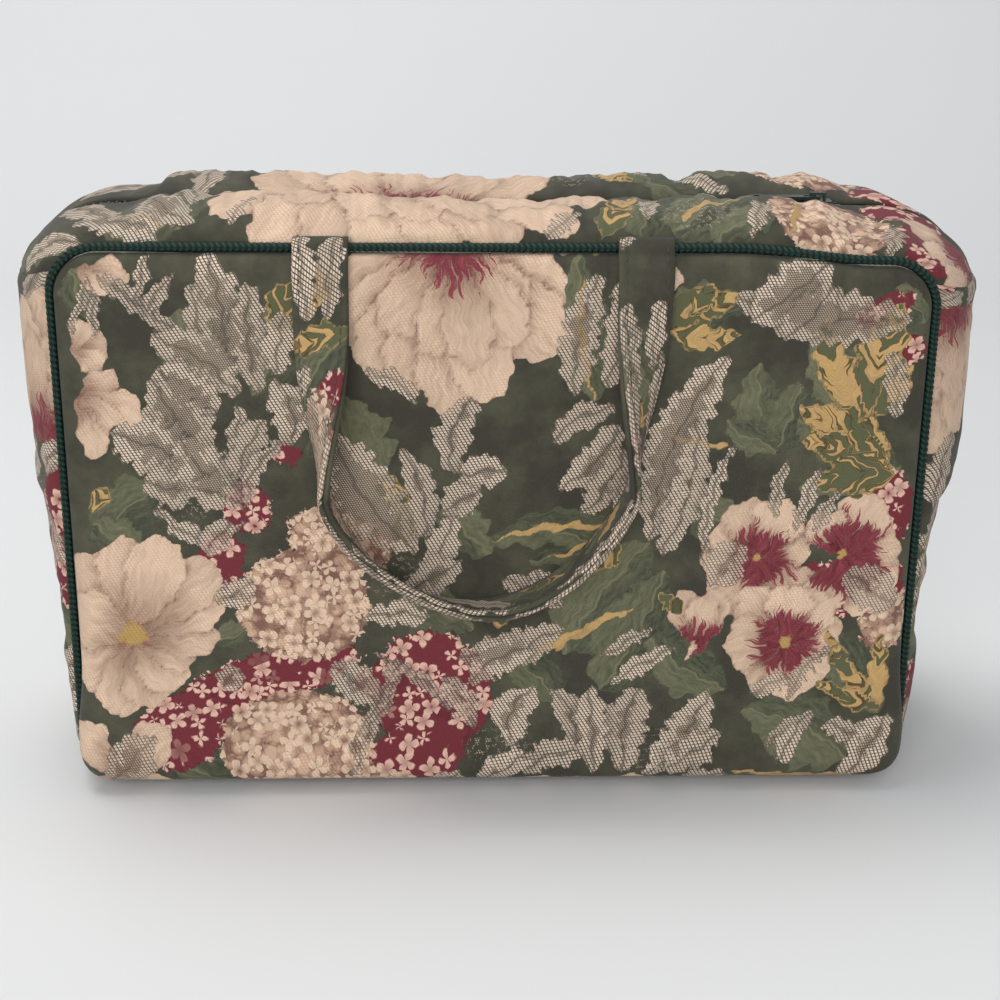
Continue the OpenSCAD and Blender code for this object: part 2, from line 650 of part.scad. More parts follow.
panel();  // front_panel
on_back() panel();  // back_panel
top_strip();  // top_strip_front
on_back() top_strip();  // top_strip_back
side_gusset();
seam_cord();  // cord_front
on_back() seam_cord();  // cord_back
strap();  // handle_front
on_back() strap();  // handle_back
zip_tape();  // zip_tape_front
on_back() zip_tape();  // zip_tape_back
zip_teeth(0);  // zip_teeth_front
on_back() zip_teeth(tooth_pitch / 2);  // zip_teeth_back
top_stop();  // top_stop_front
on_back() top_stop();  // top_stop_back
bottom_stop();
zip_slider();
zip_pull();
panel_lining();  // lining_front
on_back() panel_lining();  // lining_back
strip_lining();  // lining_strip_front
on_back() strip_lining();  // lining_strip_back
lining_gusset();
binding();  // binding_front
on_back() binding();  // binding_back
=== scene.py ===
# %% [markdown]
# A soft toiletry bag in floral jacquard. The imported model gives every solid its place, and this
# lesson dresses it: woven panels with their print, gathered strips, a puffed gusset, braided cord,
# stitched straps and a coil zip. We load the model first. Nothing that we add may make the bag
# larger.

# %% Load the imported model
import functools
import math

import bmesh
import bpy
import numpy as np
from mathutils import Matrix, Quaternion, Vector


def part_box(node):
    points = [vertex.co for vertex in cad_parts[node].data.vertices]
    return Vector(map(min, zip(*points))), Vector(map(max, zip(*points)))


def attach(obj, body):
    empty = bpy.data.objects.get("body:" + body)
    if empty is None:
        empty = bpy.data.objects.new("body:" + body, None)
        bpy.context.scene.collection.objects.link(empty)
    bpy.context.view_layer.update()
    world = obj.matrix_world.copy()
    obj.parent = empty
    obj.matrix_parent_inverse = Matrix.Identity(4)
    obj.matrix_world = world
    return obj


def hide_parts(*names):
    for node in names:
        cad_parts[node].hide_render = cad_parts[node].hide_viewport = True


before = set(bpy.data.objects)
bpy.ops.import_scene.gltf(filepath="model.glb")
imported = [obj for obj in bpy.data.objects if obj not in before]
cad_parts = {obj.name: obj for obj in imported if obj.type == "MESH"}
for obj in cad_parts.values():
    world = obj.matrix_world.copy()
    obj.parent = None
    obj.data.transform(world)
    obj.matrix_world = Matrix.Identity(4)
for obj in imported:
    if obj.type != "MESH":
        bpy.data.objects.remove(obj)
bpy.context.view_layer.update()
MM = 0.001

# %% [markdown]
# The driving sizes come from the imported model. The front cord runs round the whole front seam,
# so its box gives the seam's width, height and depth. The rest are the real sizes of cloth and seams,
# in millimetres, which is the unit of every shape function below.

# %% Driving sizes
CORD_R = 1.75
CLOTH_T = 1.6
TOP_R, BOTTOM_R = 18.0, 16.0
# The cloth ends just inside the cord
EDGE_IN = CORD_R + 0.15
cord_low, cord_high = (np.array(corner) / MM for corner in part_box("cord_front"))
HALF_W = cord_high[0] - CORD_R
SEAM_TOP = cord_high[2] - CORD_R
SEAM_LOW = cord_low[2] + CORD_R
HALF_D = -(cord_low[1] + cord_high[1]) / 2
SEAM_MID = (SEAM_TOP + SEAM_LOW) / 2
TOP_RUN, TOP_CZ = HALF_W - TOP_R, SEAM_TOP - TOP_R
BOTTOM_RUN, BOTTOM_CZ = HALF_W - BOTTOM_R, SEAM_LOW + BOTTOM_R
print(f"Seam: {2 * HALF_W:.1f} wide, top {SEAM_TOP:.1f}, base {SEAM_LOW:.1f}, {2 * HALF_D:.1f} deep")

# %% [markdown]
# The camera comes before the pieces. Its place was worked out from the seam's corners and the crests
# of the top: it stands 0.67 m away, looks down by about 20 degrees, and is turned a little to the
# left. A lens of 64 mm on a 36 mm sensor gives the same taper as the photograph.

# %% Camera
LENS = 64.1
CAMERA_AWAY = 667 * MM
CAMERA_PITCH = math.radians(19.8)
CAMERA_YAW = math.radians(-1.9)
CAMERA_ROLL = math.radians(0.5)
LOOK_AT = Vector((1.9, -HALF_D, 117.8)) * MM

camera_back = Vector((math.sin(CAMERA_YAW) * math.cos(CAMERA_PITCH),
                      -math.cos(CAMERA_YAW) * math.cos(CAMERA_PITCH), math.sin(CAMERA_PITCH)))
camera = bpy.data.objects.new("camera", bpy.data.cameras.new("camera"))
camera.data.lens = LENS
camera.location = LOOK_AT + CAMERA_AWAY * camera_back
camera.rotation_mode = "QUATERNION"
camera.rotation_quaternion = (-camera_back).to_track_quat("-Z", "Y") @ Quaternion((0, 0, 1), CAMERA_ROLL)
bpy.context.scene.collection.objects.link(camera)
bpy.context.scene.camera = camera
bpy.context.scene.view_settings.view_transform = "Standard"
print("Camera at", [round(c, 3) for c in camera.location])

# %% [markdown]
# Every finish below is a small tree of nodes. Colours are written as sRGB hex values, as they would
# be picked from a picture, and one function turns them to the linear values that Blender works with.
# A second function adds a node, with its inputs in order or by name, its settings and its links. A Mix
# node of colours takes its share at input 0 and its two colours at 6 and 7, and gives the third output.

# %% Colours and nodes
BLEND = {"out": 2, "data_type": "RGBA"}


def hexa(code):
    """Linear colour of an sRGB hex value."""
    parts = [int(code[i:i + 2], 16) / 255 for i in (1, 3, 5)]
    return tuple(c / 12.92 if c <= 0.04045 else ((c + 0.055) / 1.055) ** 2.4 for c in parts) + (1.0,)


def add(tree, kind, *inputs, out=0, **settings):
    """Adds a node, gives it settings and inputs, links those that are sockets, returns an output."""
    node = tree.nodes.new("ShaderNode" + kind)
    for name, value in settings.items():
        setattr(node, name, value)
    for index, value in enumerate(inputs):
        named = value if isinstance(value, dict) else {index: value}
        for key, given in named.items():
            if isinstance(given, bpy.types.NodeSocket):
                tree.links.new(given, node.inputs[key])
            else:
                node.inputs[key].default_value = given
    return node.outputs[out]


def new_material(name):
    """An empty material, its tree and its output node."""
    material = bpy.data.materials.new(name)
    material.use_nodes = True
    material.node_tree.nodes.clear()
    return material, material.node_tree, material.node_tree.nodes.new("ShaderNodeOutputMaterial")


# %% [markdown]
# The stage is a pale sheet that runs from the floor up into a wall, so no horizon shows. A wide soft
# lamp above and a little behind lights the top and throws a soft shadow forwards. A second one in
# front and a pale world light the face evenly, at a level where a colour comes out about as it is
# written.

# %% Stage and light
FLOOR_COLOUR, WORLD_COLOUR, WORLD_STRENGTH = "#dbdbda", "#eef2f8", 0.48
STAGE_SIZE, WALL_Y, WALL_BEND = 6.0, 1.3, 0.5


def backdrop():
    """A floor that bends up into a wall behind the bag."""
    bm = bmesh.new()
    bmesh.ops.create_grid(bm, x_segments=2, y_segments=60, size=STAGE_SIZE / 2)
    for vert in bm.verts:
        past = vert.co.y - (WALL_Y - WALL_BEND)
        if past > 0:
            turn = min(past / WALL_BEND, math.pi / 2)
            vert.co.y = WALL_Y - WALL_BEND + WALL_BEND * math.sin(turn)
            vert.co.z = WALL_BEND * (1 - math.cos(turn)) + max(0, past - WALL_BEND * math.pi / 2)
    mesh = bpy.data.meshes.new("backdrop")
    bm.to_mesh(mesh)
    bm.free()
    mesh.polygons.foreach_set("use_smooth", [True] * len(mesh.polygons))
    stage = bpy.data.objects.new("backdrop", mesh)
    bpy.context.scene.collection.objects.link(stage)
    material, tree, output = new_material("matt_paper")
    shader = add(tree, "BsdfPrincipled", {"Base Color": hexa(FLOOR_COLOUR), "Roughness": 0.9},
                 out="BSDF")
    tree.links.new(shader, output.inputs["Surface"])
    mesh.materials.append(material)


def lamp(name, place, size, power):
    """A square lamp that faces the middle of the bag."""
    light = bpy.data.lights.new(name, "AREA")
    light.size = size
    light.energy = power
    shown = bpy.data.objects.new(name, light)
    shown.location = place
    shown.rotation_mode = "QUATERNION"
    shown.rotation_quaternion = (LOOK_AT - Vector(place)).to_track_quat("-Z", "Y")
    bpy.context.scene.collection.objects.link(shown)


backdrop()
lamp("key_light", place=(-0.4, 0.25, 1.7), size=1.0, power=17)
lamp("fill_light", place=(-0.3, -2.0, 0.8), size=1.4, power=30)
world = bpy.data.worlds.new("studio")
world.use_nodes = True
sky = world.node_tree.nodes["Background"].inputs
sky["Color"].default_value = hexa(WORLD_COLOUR)
sky["Strength"].default_value = WORLD_STRENGTH
bpy.context.scene.world = world
print("Stage and two lamps are set")

# %% [markdown]
# Each cloth piece is a fine flat grid, made by one operator, whose points are then moved to where the
# sewn cloth lies. A shape function takes two arrays, a and b, which run from 0 to 1 across and up the
# grid, and gives the points in millimetres and the place on the flat cloth, also in millimetres. The
# print and the weave read that second value, so they follow the cloth as it bends. The bag isn't quite
# even: its right front shoulder hangs and its left side is slimmer, so droop moves every piece there.

# %% Grids of cloth
# How far the shoulder hangs, and where in x and z that begins and over what reach it grows
HANG, HANG_X, HANG_X_REACH, HANG_Z, HANG_Z_REACH, HANG_Y_REACH = 4.5, 85.0, 55.0, 165.0, 40.0, 40.0
# What share of its bulge the left side is drawn in by, and where in z that begins and its reach
DRAWN, DRAWN_Z, DRAWN_REACH = 0.22, 50.0, 90.0
# Points closer than this are one, in millimetres
SAME = 0.005


def unit(vectors):
    """Vectors of length one."""
    return vectors / np.maximum(np.linalg.norm(vectors, axis=-1, keepdims=True), 1e-9)


def smooth(t):
    """Eases from 0 to 1."""
    t = np.clip(t, 0, 1)
    return t * t * (3 - 2 * t)


def ripple(t, seed, octaves=4):
    """A gentle irregular wave of t, about -1 to 1, the same on every run."""
    rng = np.random.default_rng(seed)
    total = np.zeros_like(np.asarray(t, float))
    for k in range(octaves):
        total = total + np.sin(t * (1.7 ** k) + rng.uniform(0, 6.28)) / (1.25 ** k)
    return total / 2.2


def droop(points):
    """Lets the front's right shoulder hang and draws the left side in, each by a few millimetres."""
    x, y, z = points.T
    down = HANG * smooth((x - HANG_X) / HANG_X_REACH) * smooth((z - HANG_Z) / HANG_Z_REACH)
    down = down * smooth(-y / HANG_Y_REACH)
    drawn = DRAWN * np.maximum(-HALF_W - x, 0) * smooth((z - DRAWN_Z) / DRAWN_REACH)
    return np.stack([x + drawn, y, z - down], 1)


def flat_grid(name, across, up):
    """A smooth mesh of across by up faces, and the a and b of its points."""
    bm = bmesh.new()
    bmesh.ops.create_grid(bm, x_segments=across, y_segments=up, size=0.5)
    mesh = bpy.data.meshes.new(name)
    bm.to_mesh(mesh)
    bm.free()
    mesh.polygons.foreach_set("use_smooth", [True] * len(mesh.polygons))
    points = np.empty(len(mesh.vertices) * 3)
    mesh.vertices.foreach_get("co", points)
    points = points.reshape(-1, 3) + 0.5
    return mesh, points[:, 0], points[:, 1]


def move_points(mesh, points):
    """Moves the points of a mesh to places in millimetres."""
    mesh.vertices.foreach_set("co", (points * MM).astype(np.float32).ravel())


def close_mesh(mesh, rounded=True):
    """Merges points that meet at a seam, fills open ends and turns every face outwards."""
    bm = bmesh.new()
    bm.from_mesh(mesh)
    bmesh.ops.remove_doubles(bm, verts=bm.verts, dist=SAME * MM)
    bmesh.ops.holes_fill(bm, edges=bm.edges, sides=0)
    bmesh.ops.recalc_face_normals(bm, faces=bm.faces)
    bm.to_mesh(mesh)
    bm.free()
    mesh.polygons.foreach_set("use_smooth", [rounded] * len(mesh.polygons))


def shown_object(name, mesh, body, slot, *nodes):
    """Links a mesh as a piece that rides on a body and stands for CAD nodes."""
    piece = bpy.data.objects.new(name, mesh)
    bpy.context.scene.collection.objects.link(piece)
    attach(piece, body)
    if nodes:
        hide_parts(*nodes)
    return piece


def keep_place(mesh, place, name="place"):
    """Writes a value of two or three numbers a point to the mesh, for the materials to read."""
    values = np.zeros((len(mesh.vertices), 3), np.float32)
    values[:, :place.shape[1]] = place
    mesh.attributes.new(name, "FLOAT_VECTOR", "POINT").data.foreach_set("vector", values.ravel())


# %% [markdown]
# The two faces of the bag are stiff enough to stay smooth. They are crowned all over, sag low down
# where the filling rests, and curve in along a border to meet the cord. The grid's corner squares are
# pressed into quarter discs so that the outline follows the rounded seam. Small puckers run in from
# the top seam, where the strap ends and gathers pull on the cloth.

# %% Shape of a panel
CROWN, BELLY, BELLY_Z, BELLY_REACH, BORDER = 5.0, 6.0, 32.0, 62.0, 12.0
# Puckers reach down from the top seam, and the swell keeps clear of all seams
PUCKER, PUCKER_REACH, SWELL, SWELL_IN = 0.8, 13.0, 0.8, 25.0
# How far the cloth hangs over the lower cord and spreads there, at what height and over what reach
OVERHANG, OVERHANG_Z, OVERHANG_REACH = 5.0, 13.0, 9.0
SPREAD, SPREAD_Z, SPREAD_REACH = 0.022, 22.0, 20.0
PANEL_W, PANEL_H = HALF_W - EDGE_IN, (SEAM_TOP - SEAM_LOW) / 2 - EDGE_IN


def corner_square(x, low):
    """Size of the nearest corner square, and how far into it a point lies each way."""
    corner = np.where(low > 0, TOP_R, BOTTOM_R) - EDGE_IN
    return corner, np.abs(x) - (PANEL_W - corner), np.abs(low) - (PANEL_H - corner)


def stand_out(x, z):
    """How far a panel stands out at x and at height z."""
    low = z - SEAM_MID
    corner, u, v = corner_square(x, low)
    edge = np.where((u > 0) & (v > 0), corner - np.hypot(u, v),
                    np.minimum(PANEL_W - np.abs(x), PANEL_H - np.abs(low)))
    rise = np.sqrt(np.clip(1 - (1 - np.clip(edge, 0, BORDER) / BORDER) ** 2, 0, 1))
    return (CROWN + BELLY * np.exp(-((z - BELLY_Z) / BELLY_REACH) ** 2)) * rise


def panel_shape(a, b, side=-1, seed=3):
    """Outer face of a panel. side is -1 for the front and 1 for the back."""
    x, z = (2 * a - 1) * PANEL_W, (2 * b - 1) * PANEL_H
    corner, u, v = corner_square(x, z)
    pressed = (u > 0) & (v > 0)
    s, t = np.clip(u / corner, 0, 1), np.clip(v / corner, 0, 1)
    px = PANEL_W - corner + u * np.sqrt(1 - t * t / 2)
    pz = PANEL_H - corner + v * np.sqrt(1 - s * s / 2)
    place = np.stack([x, z + SEAM_MID], 1)
    x = np.where(pressed, np.sign(x) * px, x)
    z = np.where(pressed, np.sign(z) * pz, z) + SEAM_MID
    below = SEAM_TOP - z
    pucker = PUCKER * ripple(x * 0.42, seed) * smooth(below / 4) * np.exp(-below / PUCKER_REACH)
    swell = SWELL * ripple(x * 0.045 + 0.4, seed + 1) * ripple(z * 0.05, seed + 2)
    inside = smooth(np.minimum(PANEL_W - np.abs(x), np.minimum(below, z - SEAM_LOW)) / SWELL_IN)
    out = stand_out(x, z) + pucker + swell * inside
    # The filling makes the cloth hang a little over the lower cord
    x = x * (1 + SPREAD * np.exp(-((z - SPREAD_Z) / SPREAD_REACH) ** 2) * smooth(out / 4))
    z = z - OVERHANG * np.exp(-((z - OVERHANG_Z) / OVERHANG_REACH) ** 2) * smooth(out / 4)
    points = np.stack([-side * x, side * (HALF_D + CLOTH_T / 2 + out), z], 1)
    return points, place


# %% [markdown]
# The top is two strips with the zip between them. Each strip starts behind the cord, puffs up over
# the filling and comes down to a fold beside the zip. The seam and the zip run over the shoulders on
# different radii, so every cross-section is set on the seam and points towards the zip. The cloth is
# gathered: its crest waves, and short creases run up from the cord.

# %% Shape of a top strip
ZIP_TOP = SEAM_TOP + 6.3
ZIP_R = 48.0
ZIP_CZ = ZIP_TOP - ZIP_R
JOIN_A = math.radians(58)
# Half the gap between the two folds, how far they stand over the zip, and where in b they lie
REVEAL, FOLD_LIFT, FOLD_B = 5.2, 1.1, 0.94
# Height of the puff near its ends and in the middle, of its waves, and of creases and folds
PUFF, PUFF_MID, PUFF_WAVE, CREASE, FOLD_WAVE = 7.0, 5.0, 0.8, 0.55, 0.35
GUSSET_Y = HALF_D - EDGE_IN
# Length of a strip round one shoulder, and of its cloth from the seam to the zip
BEND_L, STRIP_CLOTH = 36.0, 52.0


def on_bend(x, angle, radius, centre_z):
    """Point of a curve that runs straight over the top and round a shoulder."""
    return np.stack([x + radius * np.sin(angle), centre_z + radius * np.cos(angle)], 1)


def top_place(a):
    """x on the straight, angle round the shoulder and distance along, for a from 0 to 1."""
    along = (2 * a - 1) * (TOP_RUN + BEND_L)
    x = np.clip(along, -TOP_RUN, TOP_RUN)
    return x, (along - x) / BEND_L * JOIN_A, along


def gusset_bulge(t):
    """Height of a puffed gusset, from 0 at a seam to 1 in the middle."""
    return np.clip(1 - np.abs(t) ** 2.2, 0, 1) ** 0.6


def strip_shape(a, b, side=-1, seed=11):
    """Outer face of a top strip, from the cord at b 0 to under the fold at b 1."""
    x, angle, along = top_place(a)
    seam, zipper = on_bend(x, angle, TOP_R, TOP_CZ), on_bend(x, angle, ZIP_R, ZIP_CZ)
    height = np.linalg.norm(zipper - seam, axis=1)
    w = np.clip(b / FOLD_B, 0, 1) ** 1.15
    y = GUSSET_Y - w * (GUSSET_Y - REVEAL)
    ends = 1 - 0.75 * smooth((np.abs(x) - TOP_RUN * 0.84) / (TOP_RUN * 0.16))
    ends = ends * (1 - smooth(np.abs(angle) / JOIN_A))
    puff = PUFF_MID + (PUFF - PUFF_MID) * smooth(np.abs(x) / (TOP_RUN * 0.7))
    puff = (puff + PUFF_WAVE * ripple(along * 0.27, seed)) * ends
    up = (height + FOLD_LIFT) * gusset_bulge(y / GUSSET_Y) + puff * np.sin(np.pi * w) ** 0.6
    crease = CREASE * ripple(along * 0.8, seed + 1) * smooth(w / 0.05) * np.exp(-w / 0.16)
    fold = FOLD_WAVE * ripple(along * 0.65 + 2, seed + 2) * np.exp(-(1 - w) / 0.12)
    fold = fold * smooth((1 - w) / 0.03)
    up = up + (crease + fold) * (0.3 + 0.7 * ends)
    # Past the fold the cloth turns down beside the zip, ending at the tape
    under = np.clip((b - FOLD_B) / (1 - FOLD_B), 0, 1)
    up = np.where(w >= 1, height + FOLD_LIFT * (1 - smooth(under * 1.6)) - 0.9 * under, up)
    y = np.where(w >= 1, REVEAL - 0.5 * np.sin(np.pi * np.clip(under * 1.2, 0, 1)), y)
    flat = seam + unit(zipper - seam) * up[:, None]
    points = np.stack([-side * flat[:, 0], side * y, flat[:, 1]], 1)
    return points, np.stack([-side * along, b * STRIP_CLOTH], 1)


# %% [markdown]
# One long gusset runs down a side, under the base and up the other side. It bulges most near the
# shoulders, folds in at the waist of the bag, bulges less below, and lies flat under the base. Its
# cross-sections are spaced along the seam, and each is set on the seam and points outwards.

# %% Shape of the side gusset
SIDE_BULGE, LOW_BULGE, WAIST_Z, FOLD_H = 22.7, 16.0, 112.0, 7.0
BASE_DROP, FLAT_H, SHOULDER_DROP = SEAM_LOW, 50.0, 6.0
# Width of the gusset's cloth from seam to seam, and the heights of its creases and waves
GUSSET_CLOTH, GUSSET_CREASE, GUSSET_WAVE = 124.0, 0.5, 0.9
# What the cloth is longer by than the seam in the lower turn, and wider by in the upper one
LOW_SPARE, TOP_SPARE = 4, 14


def seam_path(t):
    """Half the seam from the middle of the base (t 0) to the join (t 1): seam and outer points."""
    lengths = np.cumsum([0, BOTTOM_RUN, BOTTOM_R * math.pi / 2 + LOW_SPARE, TOP_CZ - BOTTOM_CZ,
                         (TOP_R + TOP_SPARE) * (math.pi / 2 - JOIN_A)])
    s = t * lengths[-1]
    part = [np.clip((s - lengths[k]) / (lengths[k + 1] - lengths[k]), 0, 1) for k in range(4)]
    low_turn, top_turn = part[1] * math.pi / 2, math.pi / 2 - part[3] * (math.pi / 2 - JOIN_A)
    z = BOTTOM_CZ + part[2] * (TOP_CZ - BOTTOM_CZ)
    base = np.stack([BOTTOM_RUN * part[0], np.full_like(s, SEAM_LOW)], 1)
    turn = np.stack([np.sin(low_turn), -np.cos(low_turn)], 1)
    corner = np.array([BOTTOM_RUN, BOTTOM_CZ])
    bulge = np.interp(z, [BOTTOM_CZ, BOTTOM_CZ + 0.35 * (WAIST_Z - BOTTOM_CZ),
                          BOTTOM_CZ + 0.7 * (WAIST_Z - BOTTOM_CZ), WAIST_Z - FOLD_H,
                          WAIST_Z + FOLD_H, WAIST_Z + 4 * FOLD_H, TOP_CZ],
                      [BASE_DROP, 9.3, 13.7, LOW_BULGE, 21.7, SIDE_BULGE, SIDE_BULGE])
    sag_low = WAIST_Z + 3 * FOLD_H
    sag = smooth((z - sag_low) / (TOP_CZ - sag_low)) * SHOULDER_DROP
    side = np.stack([np.full_like(s, HALF_W), z], 1)
    side_out = np.stack([HALF_W + bulge, z - sag], 1)
    top = on_bend(TOP_RUN, top_turn, TOP_R, TOP_CZ)
    join_out = on_bend(np.array([TOP_RUN]), np.array([JOIN_A]), ZIP_R + FOLD_LIFT, ZIP_CZ)[0]
    top_out = np.array([HALF_W + SIDE_BULGE, TOP_CZ - SHOULDER_DROP])
    top_out = top_out + (join_out - top_out) * part[3][:, None]
    on = [s <= lengths[k + 1] for k in range(3)]
    seam = np.where(on[0][:, None], base, np.where(on[1][:, None], corner + BOTTOM_R * turn,
                    np.where(on[2][:, None], side, top)))
    outer = np.where(on[0][:, None], base - [0, BASE_DROP],
                     np.where(on[1][:, None], corner + (BOTTOM_R + BASE_DROP) * turn,
                              np.where(on[2][:, None], side_out, top_out)))
    flatness = np.where(on[1], 1.0, 1 - smooth((z - BOTTOM_CZ) / FLAT_H))
    return seam, outer, flatness, s


def gusset_shape(a, b, seed=23):
    """Outer face of the side gusset. a runs from the left join round the base to the right one.

    Its print is turned to run along the strip.
    """
    half = 2 * a - 1
    seam, outer, flatness, s = seam_path(np.abs(half))
    across = 1 - 2 * b
    t = np.sign(across) * np.abs(across) ** 0.85
    height = np.linalg.norm(outer - seam, axis=1)
    round_up = gusset_bulge(t)
    flat_up = np.minimum(1, 1.06 * np.sqrt(np.clip(1 - np.abs(t) ** 8, 0, 1)))
    up = height * (round_up + (flat_up - round_up) * flatness)
    free = (1 - flatness) * smooth((1 - np.abs(half)) / 0.03)
    near_seam = smooth((1 - np.abs(t)) / 0.05) * np.exp(-(1 - np.abs(t)) / 0.12)
    along = np.sign(half) * s
    up = up + free * (GUSSET_CREASE * ripple(along * 0.6, seed) * near_seam
                      + GUSSET_WAVE * ripple(along * 0.12, seed + 1) * (1 - t ** 2)
                      * np.cos(3 * t + 0.02 * along))
    out = unit(outer - seam)
    flat = seam + out * up[:, None]
    points = np.stack([np.sign(half + 1e-12) * flat[:, 0], t * GUSSET_Y, flat[:, 1]], 1)
    return points, np.stack([t * GUSSET_CLOTH / 2, along], 1)


# %% [markdown]
# The print is drawn as a textile designer would, from simple shapes: a leaf or a petal is a blade
# from a base to a tip, and a flower head is an oval. Each shape is worked out as a depth in
# millimetres, which is positive inside it, at every point of a piece. Between the points the depth is
# a smooth slope, so the material can cut a crisp edge through it. The cloth repeats, so the nearest
# repeat of each shape is taken.

# %% Blades and ovals
def nearest(offset, repeat):
    """Offset from the nearest repeat of a shape."""
    repeat = np.array(repeat, float)
    return (offset + repeat / 2) % repeat - repeat / 2


def blade(place, repeat, base, tip, width, bow=0.0, widest=0.45, tipped=0.8, teeth=0):
    """Depth inside a leaf or petal, with t from base to tip, distance across and length."""
    base, tip = np.array(base, float), np.array(tip, float)
    offset = nearest(place - (base + tip) / 2, repeat)
    length = np.linalg.norm(tip - base)
    ahead = (tip - base) / length
    t = offset @ ahead / length + 0.5
    inside = np.clip(t, 0, 1)
    across = offset @ np.array([-ahead[1], ahead[0]]) - bow * np.sin(np.pi * inside)
    half = width * np.sin(np.pi * inside ** (math.log(0.5) / math.log(widest))) ** tipped
    if teeth:
        half = half * (0.8 + 0.3 * np.abs(np.sin(np.pi * inside * teeth)))
    past = np.maximum(-t, t - 1) * length
    depth = np.where(past > 0, -np.hypot(across, np.maximum(past, 0)), half - np.abs(across))
    return depth, inside, across, length


def oval(place, repeat, centre, size, turn=0):
    """Depth inside an oval."""
    offset = nearest(place - np.array(centre, float), repeat)
    c, s = math.cos(math.radians(turn)), math.sin(math.radians(turn))
    u, v = offset[:, 0] * c + offset[:, 1] * s, offset[:, 1] * c - offset[:, 0] * s
    return (1 - np.hypot(u / size[0], v / size[1])) * min(size)


# %% [markdown]
# The motifs of the cloth, in millimetres on its face. Soft green leaves lie under everything. Then
# come fields of wine red with small flowers, hydrangea heads, petals that overlap from back to front,
# gold strokes on leaves, and last the brocade, which isn't printed: pale threads that float over all.

